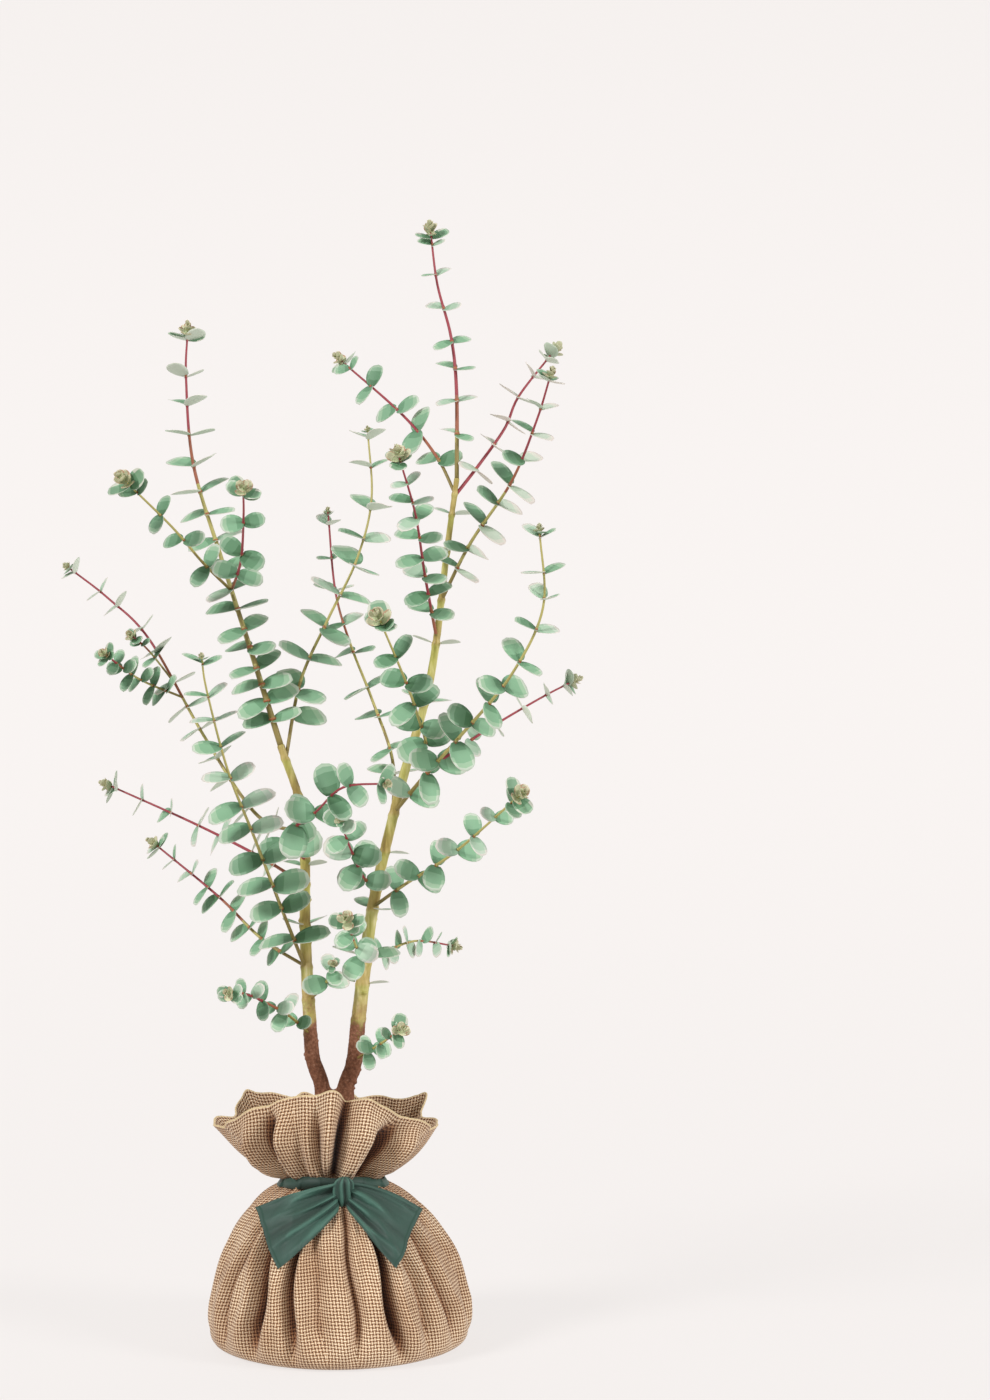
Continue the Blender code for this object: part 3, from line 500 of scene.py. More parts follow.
def wart_places(chance):
    """Places on the lower stems' surface where small warts stand, with their sizes."""
    warts = []
    for _ in range(WART_COUNT):
        name = chance.choice(sorted(stem_lines))
        line = stem_lines[name]
        height = FORK_Z + WART_REACH * chance.random() ** 1.3
        point = min(line, key=lambda p: abs(p.z - height))
        turn = chance.uniform(0, 2 * math.pi)
        radius = stem_radius(name, (height - FORK_Z) / (line[-1].z - FORK_Z))
        place = point + Vector((math.cos(turn), math.sin(turn), 0)) * radius
        warts.append((place, chance.uniform(*WART_TALL), chance.uniform(*WART_WIDE)))
    return warts


def nearest_stem(point):
    """The name of the stem that a point of the bark is on."""
    if point.z > stem_lines["left_stem"][-1].z + 0.004:
        return "right_stem"
    return min(stem_sides, key=lambda name: abs(point.x - np.interp(point.z, *stem_sides[name])))


def grow_bark(bark):
    """Give the skin its rings, warts and roughness, and note where it is brown.

    The attribute `old_bark` is 1 on rough brown bark, and `node_bark` is 1 just above a ring.
    """
    old_bark = bark.data.attributes.new("old_bark", "FLOAT", "POINT")
    node_bark = bark.data.attributes.new("node_bark", "FLOAT", "POINT")
    warts = wart_places(random.Random(23))
    ring_tall, ring_wide = RING
    groove_deep, groove_wide, groove_place = RING_GROOVE
    moves = []
    for v in bark.data.vertices:
        co = v.co
        old = 1 - ease(*ROUGH_BARK_TOP, co.z + 0.03 * noise.noise(co * 60))
        ring, above = 0.0, 0.0
        for node in STEM_NODES[nearest_stem(co)]:
            off = co.z - node
            ring += ring_tall * math.exp(-((off / ring_wide) ** 2))
            ring -= groove_deep * math.exp(-(((off - groove_place) / groove_wide) ** 2))
            above = max(above, ease(*ABOVE_RING[:2], off) * (1 - ease(*ABOVE_RING[2:], off)))
        streaks = noise.noise(Vector((co.x * 420, co.y * 420, co.z * 70)))
        grain = noise.noise(co * 900)
        move = ring * (1 - 0.5 * old)
        for share, relief in ((old, OLD_RELIEF), (1 - old, YOUNG_RELIEF)):
            move += share * (relief[0] * streaks + relief[1] * grain)
        for place, tall, wide in warts:
            away = (co - place).length_squared
            if away < 9 * wide * wide:
                move += tall * math.exp(-away / (wide * wide))
        moves.append(co + v.normal * move)
        old_bark.data[v.index].value = old
        node_bark.data[v.index].value = above
    for v, moved in zip(bark.data.vertices, moves):
        v.co = moved


grow_bark(bark)
select_only(bark)
bpy.ops.object.shade_smooth()

# Old bark is dull umber with darker and rusty flecks. Young bark has a thin waxy skin, olive
# with cream patches that are painted highlights, and tan to brown above each ring.
gum_bark, tree = new_material("young_gum_bark")
place = add_node(tree, "TexCoord")
along_grain = add_node(tree, "Mapping", {
    "Vector": place.outputs["Object"], "Scale": (150.0, 150.0, 26.0)})
patches = add_node(tree, "TexNoise", {
    "Vector": along_grain, "Scale": 1.0, "Detail": 3.0, "Roughness": 0.6})
flecks = add_node(tree, "TexNoise", {
    "Vector": place.outputs["Object"], "Scale": 420.0, "Detail": 4.0, "Roughness": 0.65})
# The cream at the top of this ramp is painted highlight, laid in patches by chance.
olive = add_node(
    tree, "ValToRGB", {"Fac": patches},
    stops=((0.32, "#8b8739"), (0.47, "#aea955"), (0.60, "#c6be78"), (0.74, "#e6deb4")))
umber = add_node(
    tree, "ValToRGB", {"Fac": flecks},
    stops=((0.30, "#5c3522"), (0.50, "#7f5037"), (0.64, "#97684f"), (0.80, "#b58a70")))
tan = add_node(tree, "ValToRGB", {"Fac": patches}, stops=((0.35, "#8b6636"), (0.65, "#bd9c5e")))
old = add_node(tree, "Attribute", attribute_name="old_bark")
node = add_node(tree, "Attribute", attribute_name="node_bark")
node_share = add_node(tree, "Math", {0: node.outputs["Fac"], 1: 0.6}, operation="MULTIPLY")
young = add_node(tree, "Mix", {"Factor": node_share, 6: olive, 7: tan}, data_type="RGBA")
mottle = add_node(tree, "Math", {0: flecks, 1: 1.6, 2: -0.8}, operation="MULTIPLY_ADD")
old_mottled = add_node(
    tree, "Math", {0: old.outputs["Fac"], 1: mottle}, operation="ADD", use_clamp=True)
old_share = add_node(
    tree, "Math", {0: old_mottled, 1: old.outputs["Fac"]}, operation="MULTIPLY", use_clamp=True)
old_full = add_node(tree, "MapRange", {"Value": old_share, "From Min": 0.10, "From Max": 0.55})
bark_colour = add_node(
    tree, "Mix", {"Factor": old_full, 6: young.outputs[2], 7: umber}, data_type="RGBA")
dull = add_node(tree, "MapRange", {"Value": old.outputs["Fac"], "To Min": 0.48, "To Max": 0.85})
fissures = add_node(tree, "Bump", {"Height": flecks, "Strength": 0.5, "Distance": 0.0004})
shader = add_node(tree, "BsdfPrincipled", {
    "Base Color": bark_colour.outputs[2], "Roughness": dull, "Normal": fissures})
add_node(tree, "OutputMaterial", {"Surface": shader})
bark.data.materials.clear()
bark.data.materials.append(gum_bark)
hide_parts("trunk", "left_stem", "right_stem")
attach(bark, "root")


# ---- The shoots
#
# Each shoot is one season's growth: a slender twig that springs from a stem, or from another
# twig, swollen a little where each pair of leaves sits. Young wood is crimson, older wood olive.

SEED = 11  # of the leaves' places
TWIG_TIP = 0.00085  # radius
TWIG_FOOT = 0.92  # radius at its foot, of the shoot's `twig`
TWIG_STEP = 0.006
NODE_SWELL = 1.32  # how much thicker a twig is where a pair sits
NODE_REACH = (-0.0022, -0.0006, 0.0010, 0.0026)  # where it starts to swell, is swollen, and ends
NODE_RING_HALF = 0.0012  # half height of the ring round it
RUST_REACH = (0.08, 0.06)  # share of a twig that is rusty, on the red side and on the olive one
OLD_SHARE = 0.72  # share of its length from the tip where old olive starts
STEM_BARE = 0.016  # bare foot of a shoot on a stem
SIDE_BARE = 0.010  # bare foot of a shoot on another shoot
FIRST_PAIR = 0.30  # place of the first pair below the tip, in steps between pairs
PAIR_TURN = math.radians(38)  # a pair stands this far to one side or the other of the left
PAIR_STEP = 0.0013  # the second leaf of a pair sits this much lower
YOUNG_SHARE = 0.45  # of a shoot, from its tip, on which leaves are still growing
YOUNG_SIZE = 0.62  # size of the youngest leaf beside a grown one
YOUNG_RISE = math.radians(26)  # lift of the youngest leaf
GROWN_RISE = math.radians(4)  # lift of a grown leaf

# A shoot leaves its stem at the height `joint`, or another shoot at the share `joint` of its
# length, and ends at the last of its points. It has `pairs` pairs of leaves, the largest `leaf`
# long, on a twig of radius `twig` at its foot, which is crimson over the share `red` from its
# tip. Its young tip is `tip` across, and its leaves are mostly of one tone. They sit square to
# the twig, but for how far they `face` the front. Pairs stand `crowd` times as far apart at the
# foot as at the tip, and `turn` is how much of the common turn they have. At the tip they may
# face the front by a `tip_face` of their own. Leaves that point to the side `paler` are pale.
SHOOT_ROWS = (
    # name, on, joint, pairs, leaf, twig, red, tip, tone, face, what else is its own, its points
    ("left_leader", "left_stem", 0.5245, 17, 0.030, 0.0030, 0.3, 0.023, "fresh", 0.9,
     dict(turn=0.7, tip_face=-0.2, crowd=0.45),
     ((-0.076, 0.035, 0.601), (-0.105, 0.050, 0.689), (-0.130, 0.060, 0.771),
      (-0.137, 0.070, 0.847), (-0.136, 0.075, 0.888))),
    ("left_leader_side", "left_leader", 0.38, 4, 0.023, 0.0015, 0.0, 0.028, "dark", 0.1,
     ((-0.118, 0.020, 0.684), (-0.142, -0.020, 0.716), (-0.176, -0.070, 0.754))),
    ("left_leader_front", "left_leader", 0.38, 4, 0.025, 0.0015, 0.9, 0.021, "dark", 0.35,
     dict(turn=0.2),
     ((-0.083, -0.010, 0.687), (-0.077, -0.060, 0.724), (-0.075, -0.090, 0.747))),
    ("left_outer_shoot", "left_stem", 0.449, 12, 0.024, 0.0019, 0.42, 0.012, "pale", 0.4,
     ((-0.072, 0.035, 0.461), (-0.122, 0.075, 0.528), (-0.175, 0.115, 0.614),
      (-0.215, 0.140, 0.651), (-0.253, 0.155, 0.679))),
    ("left_outer_twig", "left_outer_shoot", 0.52, 7, 0.019, 0.0013, 0.3, 0.017, "dark", 0.3,
     ((-0.180, 0.075, 0.580), (-0.207, 0.045, 0.603))),
    ("left_outer_bud", "left_outer_shoot", 0.56, 2, 0.017, 0.0012, 0.3, 0.016, "dark", 0.2,
     ((-0.173, 0.095, 0.604), (-0.187, 0.085, 0.618))),
    ("left_front_shoot", "left_stem", 0.327, 11, 0.031, 0.0019, 0.0, 0.009, "fresh", -0.05,
     dict(crowd=1.35, turn=0.35),
     ((-0.047, -0.030, 0.385), (-0.068, -0.080, 0.454), (-0.087, -0.115, 0.512),
      (-0.102, -0.145, 0.581), (-0.105, -0.155, 0.608))),
    ("left_back_shoot", "left_stem", 0.403, 7, 0.023, 0.0017, 0.9, 0.020, "pale", 0.78,
     ((-0.073, 0.045, 0.425), (-0.137, 0.110, 0.449), (-0.218, 0.170, 0.478))),
    ("left_low_shoot", "left_stem", 0.331, 9, 0.022, 0.0017, 0.55, 0.020, "fresh", 0.85,
     ((-0.069, 0.030, 0.353), (-0.110, 0.070, 0.386), (-0.171, 0.120, 0.428))),
    ("centre_front_shoot", "left_stem", 0.425, 7, 0.031, 0.0016, 1.0, 0.012, "dark", 0.0,
     ((-0.043, -0.055, 0.450), (-0.014, -0.110, 0.476), (0.011, -0.150, 0.500),
      (0.048, -0.185, 0.506))),
    ("left_spur", "left_stem", 0.302, 2, 0.023, 0.0014, 0.1, 0.011, "fresh", 0.0,
     ((-0.011, -0.020, 0.318), (-0.002, -0.050, 0.340))),
    ("left_bottom_shoot", "left_stem", 0.272, 7, 0.019, 0.0015, 0.5, 0.015, "fresh", 0.0,
     ((-0.043, -0.035, 0.295), (-0.071, -0.085, 0.318), (-0.086, -0.120, 0.325))),
    ("centre_high_shoot", "left_stem", 0.512, 10, 0.033, 0.0020, 0.0, 0.009, "fresh", 0.95,
     dict(tip_face=0.2),
     ((-0.035, 0.045, 0.579), (-0.012, 0.070, 0.633), (0.013, 0.090, 0.686),
      (0.026, 0.105, 0.740), (0.022, 0.125, 0.803))),
    ("top_leader", "right_stem", 0.7575, 7, 0.022, 0.0021, 0.75, 0.022, "pale", 0.62,
     ((0.1035, 0.010, 0.835), (0.0985, 0.022, 0.882), (0.0865, 0.034, 0.928),
      (0.0805, 0.045, 0.974))),
    ("top_left_shoot", "right_stem", 0.745, 5, 0.026, 0.0017, 0.75, 0.021, "fresh", 1.25,
     ((0.086, 0.020, 0.777), (0.055, 0.065, 0.815), (-0.002, 0.140, 0.866))),
    ("top_right_shoot", "right_stem", 0.742, 6, 0.023, 0.0017, 1.0, 0.023, "blush", 0.55,
     ((0.124, 0.010, 0.771), (0.146, 0.035, 0.803), (0.158, 0.055, 0.831),
      (0.189, 0.095, 0.872))),
    ("right_high_shoot", "right_stem", 0.652, 9, 0.027, 0.0018, 0.42, 0.018, "fresh", -0.1,
     dict(paler="right"),
     ((0.116, -0.035, 0.702), (0.151, -0.070, 0.754), (0.172, -0.100, 0.805),
      (0.183, -0.115, 0.841))),
    ("right_inner_shoot", "right_stem", 0.619, 9, 0.025, 0.0016, 0.9, 0.024, "fresh", 0.0,
     ((0.077, -0.050, 0.675), (0.070, -0.090, 0.726), (0.057, -0.120, 0.774))),
    ("centre_back_shoot", "right_stem", 0.464, 9, 0.026, 0.0017, 0.35, 0.011, "fresh", 0.7,
     ((0.047, 0.020, 0.512), (0.028, 0.055, 0.563), (0.007, 0.085, 0.613),
      (-0.007, 0.110, 0.659), (-0.015, 0.145, 0.729))),
    ("right_front_shoot", "right_stem", 0.519, 6, 0.028, 0.0016, 0.0, 0.027, "dark", 0.1,
     dict(crowd=0.7),
     ((0.077, -0.035, 0.528), (0.072, -0.070, 0.553), (0.062, -0.105, 0.586),
      (0.042, -0.155, 0.639))),
    ("right_arch_shoot", "right_stem", 0.468, 12, 0.028, 0.0020, 0.0, 0.012, "fresh", 0.15,
     dict(tip_face=0.35),
     ((0.077, -0.050, 0.503), (0.110, -0.095, 0.542), (0.151, -0.125, 0.593),
      (0.177, -0.130, 0.649), (0.174, -0.130, 0.713))),
    ("right_arch_side", "right_arch_shoot", 0.24, 5, 0.020, 0.0014, 1.0, 0.021, "pale", 0.78,
     ((0.133, -0.050, 0.544), (0.176, 0.010, 0.566), (0.205, 0.050, 0.579))),
    ("centre_low_shoot", "right_stem", 0.401, 5, 0.028, 0.0015, 0.8, 0.010, "fresh", 0.1,
     ((0.024, -0.045, 0.415), (0.015, -0.095, 0.444), (0.008, -0.140, 0.472))),
    ("right_low_shoot", "right_stem", 0.385, 7, 0.025, 0.0017, 0.0, 0.025, "fresh", 0.0,
     ((0.060, -0.045, 0.409), (0.103, -0.105, 0.442), (0.157, -0.185, 0.496))),
    ("right_back_shoot", "right_stem", 0.335, 6, 0.019, 0.0014, 0.3, 0.019, "fresh", 1.05,
     ((0.036, 0.020, 0.340), (0.065, 0.070, 0.346), (0.098, 0.120, 0.336))),
    ("right_spur", "right_stem", 0.331, 4, 0.022, 0.0014, 0.3, 0.022, "fresh", 0.0,
     ((0.019, -0.055, 0.353), (0.012, -0.110, 0.385))),
    ("right_bottom_shoot", "right_stem", 0.25, 5, 0.017, 0.0013, 0.2, 0.020, "fresh", 0.0,
     ((0.033, -0.035, 0.266), (0.056, -0.070, 0.286))),
)
SHOOT_VALUES = ("name", "on", "joint", "pairs", "leaf", "twig", "red", "tip", "tone", "face")
SHOOTS = []
for *values, points in SHOOT_ROWS:
    its_own = values.pop() if isinstance(values[-1], dict) else {}
    SHOOTS.append(dict(zip(SHOOT_VALUES, values), through=points, **its_own))


def place_on(line, distance):
    """The point and the direction of a line at a distance from its start."""
    lengths = lengths_along(line)
    for i in range(len(line) - 1):
        if distance <= lengths[i + 1] or i == len(line) - 2:
            along = (distance - lengths[i]) / (lengths[i + 1] - lengths[i])
            direction = (line[i + 1] - line[i]).normalized()
            return line[i].lerp(line[i + 1], min(along, 1.0)), direction


def at_height(line, height):
    """The point where a rising line reaches a height."""
    for a, b in zip(line, line[1:]):
        if b.z >= height:
            return a.lerp(b, (height - a.z) / (b.z - a.z))
    return line[-1].copy()


def on_a_stem(shoot):
    """True if a shoot springs from a stem, and False if from another shoot."""
    return shoot["on"] in stem_lines


def mass_of(shoot):
    """The name of the mass a shoot belongs to: its own, or that of the shoot it is on."""
    return shoot["name"] if on_a_stem(shoot) else shoot["on"]


def leaf_places(shoot, line):
    """A shoot's pairs of leaves: distance, leaf length, turn and rise of each."""
    chance = random.Random(f"{SEED} {shoot['name']}")
    whole = lengths_along(line)[-1]
    bare = STEM_BARE if on_a_stem(shoot) else SIDE_BARE
    closer = shoot.get("crowd", 1.0) - 1
    places = []
    for k in range(shoot["pairs"]):
        share = (FIRST_PAIR + k + chance.uniform(-0.16, 0.16)) / shoot["pairs"]
        from_tip = (whole - bare) * (share + closer * share**2 / 2) / (1 + closer / 2)
        grown = min(from_tip / (YOUNG_SHARE * whole), 1.0)
        size = YOUNG_SIZE + (1 - YOUNG_SIZE) * grown
        length = shoot["leaf"] * size * chance.uniform(0.89, 1.05)
        turn = shoot.get("turn", 1.0) * PAIR_TURN * (-1) ** k + chance.uniform(-0.30, 0.30)
        rise = YOUNG_RISE + (GROWN_RISE - YOUNG_RISE) * grown + chance.uniform(-0.12, 0.12)
        places.append((whole - from_tip, length, turn, rise))
    return places


def plain_material(name, code, roughness, bump):
    """A waxy plant skin of one colour, with a fine grain that bends the light a little."""
    material, tree = new_material(name)
    place = add_node(tree, "TexCoord")
    grain = add_node(tree, "TexNoise", {
        "Vector": place.outputs["Object"], "Scale": 700.0, "Detail": 2.0})
    lift = add_node(tree, "Bump", {"Height": grain, "Strength": bump, "Distance": 0.0002})
    shader = add_node(tree, "BsdfPrincipled", {
        "Base Color": linear(code), "Roughness": roughness, "Normal": lift})
    add_node(tree, "OutputMaterial", {"Surface": shader})
    return material


# Twig bark is thin and slightly glossy. Its colours follow its age, from the tip down.
CRIMSON, RUST, OLIVE, OLD_OLIVE, NODE_RING = range(5)
twig_bark = [plain_material(name, code, 0.5, 0.25) for name, code in (
    ("crimson_twig", "#9b3a45"), ("rust_twig", "#9c5a40"), ("olive_twig", "#b3a863"),
    ("old_olive_twig", "#8b7a42"), ("twig_ring", "#a5633e"))]


def twig_tone(shoot, from_tip, chance):
    """The colour of a stretch of twig at a share of its length from the tip."""
    red = shoot["red"]
    if from_tip < red - RUST_REACH[0] or red >= 1.0:
        return CRIMSON
    if from_tip < red + RUST_REACH[1] and red > 0:
        return RUST
    return OLD_OLIVE if from_tip + chance.uniform(-0.15, 0.15) > OLD_SHARE else OLIVE


def grow_twig(shoot, line, places):
    """One twig's mesh, swollen and ringed where its leaves sit."""
    lengths = lengths_along(line)
    whole = lengths[-1]
    stops = dict.fromkeys(lengths, 1.0)
    for distance, *_ in places:
        for off, swell in zip(NODE_REACH, (1.0, NODE_SWELL, NODE_SWELL, 1.0)):
            stops[min(max(distance + off, 0.0005), whole - 0.0005)] = swell
    distances = sorted(stops)
    path = [place_on(line, d)[0] for d in distances]
    foot = shoot["twig"] * TWIG_FOOT
    radii = [(foot + (TWIG_TIP - foot) * d / whole) * stops[d] for d in distances]
    twig = round_limb(shoot["name"] + "_twig", path, radii, 1)
    chance = random.Random(shoot["name"])
    nodes = [distance + sum(NODE_REACH) / 4 for distance, *_ in places]
    for material in twig_bark:
        twig.data.materials.append(material)
    for face in twig.data.polygons:
        near = min(range(len(line)), key=lambda i: (line[i] - face.center).length_squared)
        ahead = (line[max(near, 1)] - line[max(near, 1) - 1]).normalized()
        run = lengths[near] + (face.center - line[near]).dot(ahead)
        ringed = any(abs(run - node) < NODE_RING_HALF for node in nodes)
        face.material_index = NODE_RING if ringed else twig_tone(shoot, 1 - run / whole, chance)
    return twig


shoot_lines = dict(stem_lines)
shoot_places = {}
twigs = {}
for shoot in SHOOTS:
    parent = shoot_lines[shoot["on"]]
    if on_a_stem(shoot):
        start = at_height(parent, shoot["joint"])
    else:
        start, _ = place_on(parent, shoot["joint"] * lengths_along(parent)[-1])
    line = smooth_line([start, *shoot["through"]], TWIG_STEP)
    shoot_lines[shoot["name"]] = line
    shoot_places[shoot["name"]] = leaf_places(shoot, line)
    twigs[shoot["name"]] = grow_twig(shoot, line, shoot_places[shoot["name"]])


def masses_on(stem):
    """The CAD nodes of the masses that spring from a stem."""
    return [s["name"] for s in SHOOTS if s["on"] == stem]


def stem_of(shoot):
    """The stem that carries a shoot, straight or through another shoot."""
    mass = mass_of(shoot)
    return next(s["on"] for s in SHOOTS if s["name"] == mass)


def search_tree(points, faces):
    """Faces as a search tree, with the middle and the reach of their box."""
    places = np.array(points)
    low, high = places.min(0), places.max(0)
    middle = Vector((low + high) / 2)
    return BVHTree.FromPolygons(points, faces), middle, float(np.linalg.norm(high - low)) / 2


def faces_of(mesh):
    """The corners of each face of a mesh."""
    return [tuple(p.vertices) for p in mesh.polygons]


def solid_of(piece):
    """A piece's search tree, with the middle and the reach of its box."""
    return search_tree([v.co for v in piece.data.vertices], faces_of(piece.data))


# What stands in a leaf's way: the limbs, and twigs and leaves of the other masses.
in_the_way = [("limbs", solid_of(bark))]
for shoot in SHOOTS:
    in_the_way.append((mass_of(shoot), solid_of(twigs[shoot["name"]])))


def join_pieces(name, pieces):
    """Several meshes joined into the first, under one name."""
    bpy.ops.object.select_all(action="DESELECT")
    for piece in pieces:
        piece.select_set(True)
    bpy.context.view_layer.objects.active = pieces[0]
    bpy.ops.object.join()
    pieces[0].name = name
    return pieces[0]


for stem in ("left_stem", "right_stem"):
    joined = join_pieces(stem + "_twigs", [
        twigs[s["name"]] for s in SHOOTS if stem_of(s) == stem])
    bpy.ops.object.shade_smooth()
    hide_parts(*masses_on(stem))
    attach(joined, "root")


# ---- The leaves
#
# A young gum's leaves are round and sit in pairs straight on the twig, clasping it. They are
# leathery, folded a little along the midrib, and a pale wax dulls their green towards the rim.

LEAF_ROWS = (-1.0, -0.74, -0.36, 0.06, 0.46, 0.80, 1.0)  # from the foot to the tip
LEAF_STRIPS = (-1.0, -0.70, 0.0, 0.70, 1.0)  # from one side over the midrib to the other
LEAF_THICK = 0.014  # of its length
LEAF_CLASP = 0.045  # how far the foot's two lobes reach past the twig, in leaf lengths
LEAF_TONES = {  # tones from deep in the leaf to its light edge, its rim, and its underside
    "dark": ("#48744f", "#608b68", "#7da383", "#a3b9a0", "#cdd0c1", "#bccab6"),
    "fresh": ("#669370", "#80ab88", "#99ba9a", "#c0cdbb", "#dbd4ca", "#ccd4c4"),
    "pale": ("#8fb195", "#a6c1a8", "#bccbba", "#d7d4ca", "#e4dad2", "#d2dbcb"),
    "blush": ("#a9bda6", "#bccab8", "#cecfc2", "#dcd3ca", "#e4dad2", "#e0d9cf"),
    "young": ("#a6b688", "#b8c298", "#cccdab", "#dad4b8", "#bd9b7e", "#c3c5a3"),
}
RIM, UNDER = 4, 5
INNER_TONES = (0, 0, 1, 1, 2, 3)  # from the foot to the tip, beside the midrib
OUTER_TONES = (0, 1, 1, 2, 3, 3)  # and beside the rim
YOUNG_TONES = (0, 1, 1, 2, 2, 3), (1, 1, 2, 4, 4, 4)  # a young leaf has a reddish brown rim
TONE_SHARES = {  # how leaves of a shoot are dealt over the first four, at its foot and its tip
    "dark": ((0.75, 0.25, 0.00, 0.00), (0.50, 0.45, 0.05, 0.00)),
    "fresh": ((0.34, 0.62, 0.04, 0.00), (0.04, 0.56, 0.40, 0.00)),
    "pale": ((0.05, 0.45, 0.50, 0.00), (0.00, 0.20, 0.80, 0.00)),
    "blush": ((0.00, 0.25, 0.15, 0.60), (0.00, 0.00, 0.20, 0.80)),
}
LEAF_SHAPES = (  # width, fold, cup, droop, in leaf lengths
    (0.80, 0.16, 0.10, 0.02), (0.86, 0.10, 0.14, 0.05), (0.74, 0.20, 0.06, 0.08),
    (0.90, 0.12, 0.08, 0.00), (0.78, 0.08, 0.18, 0.10), (0.84, 0.18, 0.04, 0.04),
)
YOUNG_SHAPE = (0.88, 0.14, 0.26, -0.04)
LEAF_TAPER = 0.24  # how much narrower a leaf is at its foot
LEAF_LAYS = [  # sizes and extra turns tried in turn for a leaf that meets something
    (shrink, turn) for shrink in (1.0, 0.85, 0.7) for turn in (0.0, 0.22, -0.22, 0.45, -0.45)
]


def model_leaf(name, width, fold, cup, droop, tones=(INNER_TONES, OUTER_TONES)):
    """One leaf, a unit long: its foot on the origin, its blade along +X, its upper face up."""
    rows, strips = len(LEAF_ROWS) - 1, len(LEAF_STRIPS) - 1
    bpy.ops.mesh.primitive_grid_add(x_subdivisions=rows, y_subdivisions=strips, size=2)
    leaf = bpy.context.object
    leaf.name = name
    outer = leaf.data.attributes.new("outer", "BOOLEAN", "FACE")
    for face in leaf.data.polygons:
        row = int((face.center.x + 1) / 2 * rows)
        is_outer = int((face.center.y + 1) / 2 * strips) not in (1, 2)
        outer.data[face.index].value = is_outer
        face.material_index = tones[is_outer][row]
    for v in leaf.data.vertices:
        x = LEAF_ROWS[round((v.co.x + 1) / 2 * rows)]
        y = LEAF_STRIPS[round((v.co.y + 1) / 2 * strips)]
        ahead = x * math.sqrt(1 - y * y / 2)
        aside = y * math.sqrt(1 - x * x / 2)
        out = ahead * ahead + aside * aside
        along = (ahead + 1) / 2
        notch = LEAF_CLASP * math.exp(-((aside / 0.25) ** 2)) * max(0.0, -ahead) ** 6
        height = fold * abs(aside) * width / 2 + cup * out / 4 - droop * along * along
        narrowed = 1 - LEAF_TAPER * (1 - along) ** 1.5
        v.co = (along + notch - LEAF_CLASP, aside * narrowed * width / 2, height)
    thicken = leaf.modifiers.new("thicken", "SOLIDIFY")
    thicken.thickness = LEAF_THICK
    thicken.offset = -1.0
    bpy.ops.object.modifier_apply(modifier="thicken")
    leaf.data.update()
    for i, face in enumerate(leaf.data.polygons):
        if i >= 2 * rows * strips:
            face.material_index = RIM
        elif face.normal.z < 0:
            face.material_index = UNDER
    mesh = leaf.data
    bpy.data.objects.remove(leaf)
    return mesh


def faced(direction, face):
    """The direction that leaves stand square to, when they turn somewhat to the front."""
    return (direction - Vector((0, face, 0))).normalized()


def leaf_frame(place, stem_direction, turn, rise, roll):
    """The matrix of a leaf that leaves its twig at a turn about it, lifted and rolled."""
    side = stem_direction.cross(Vector((0.0, 1.0, 0.0)))
    if side.length < 0.05:
        side = stem_direction.cross(Vector((1.0, 0.0, 0.0)))
    side.normalize()
    front = side.cross(stem_direction)
    away = side * math.cos(turn) + front * math.sin(turn)
    along = away * math.cos(rise) + stem_direction * math.sin(rise)
    up = stem_direction * math.cos(rise) - away * math.sin(rise)
    axes = Matrix((along, up.cross(along), up)).transposed().to_4x4()
    return Matrix.Translation(place) @ axes @ Matrix.Rotation(roll, 4, "X")


def is_clear(points, faces, mass):
    """True if a leaf meets no limb and nothing of another mass."""
    tree, middle, reach = search_tree(points, faces)
    for owner, (other, other_middle, other_reach) in in_the_way:
        near = (middle - other_middle).length < reach + other_reach
        if owner != mass and near and tree.overlap(other):
            return False
    return True


def placed_leaf(mesh, mass, place, direction, length, turn, rise, roll):
    """A leaf's points at its place, turned or made smaller if something is in its way."""
    faces = faces_of(mesh)
    for shrink, extra_turn in LEAF_LAYS:
        lay = leaf_frame(place, direction, turn + extra_turn, rise, roll)
        size = Matrix.Scale(length * shrink, 4)
        points = [lay @ size @ v.co for v in mesh.vertices]
        if is_clear(points, faces, mass):
            in_the_way.append((mass, search_tree(points, faces)))
            return points
    return None


leaf_meshes = [model_leaf(f"leaf_{i}", *shape) for i, shape in enumerate(LEAF_SHAPES)]
young_mesh = model_leaf("young_leaf", *YOUNG_SHAPE, YOUNG_TONES)
leaf_skins = []
tone_start = {}
for tone, codes in LEAF_TONES.items():
    tone_start[tone] = len(leaf_skins)
    for part, code in zip(("deep", "inner", "middle", "light", "rim", "under"), codes):
        leaf_skins.append(plain_material(f"{tone}_leaf_{part}", code, 0.58, 0.2))


def add_leaf(spray, mesh, points, tone):
    """Add a placed leaf to a spray, with painted light: a tone paler along its lower edge."""
    start = len(spray["points"])
    spray["points"].extend(points)
    left = sum(p.z for v, p in zip(mesh.vertices, points) if v.co.y > 0.01)
    right = sum(p.z for v, p in zip(mesh.vertices, points) if v.co.y < -0.01)
    outer = mesh.attributes["outer"].data
    for face in mesh.polygons:
        # Painted light: outer faces on the side that hangs lower take the next, paler tone.
        lower = outer[face.index].value and (face.center.y > 0) == (left < right)
        paler = lower and 0 < face.material_index < RIM and mesh is not young_mesh
        spray["faces"].append([start + i for i in face.vertices])
        spray["tones"].append(tone_start[tone] + face.material_index + paler)


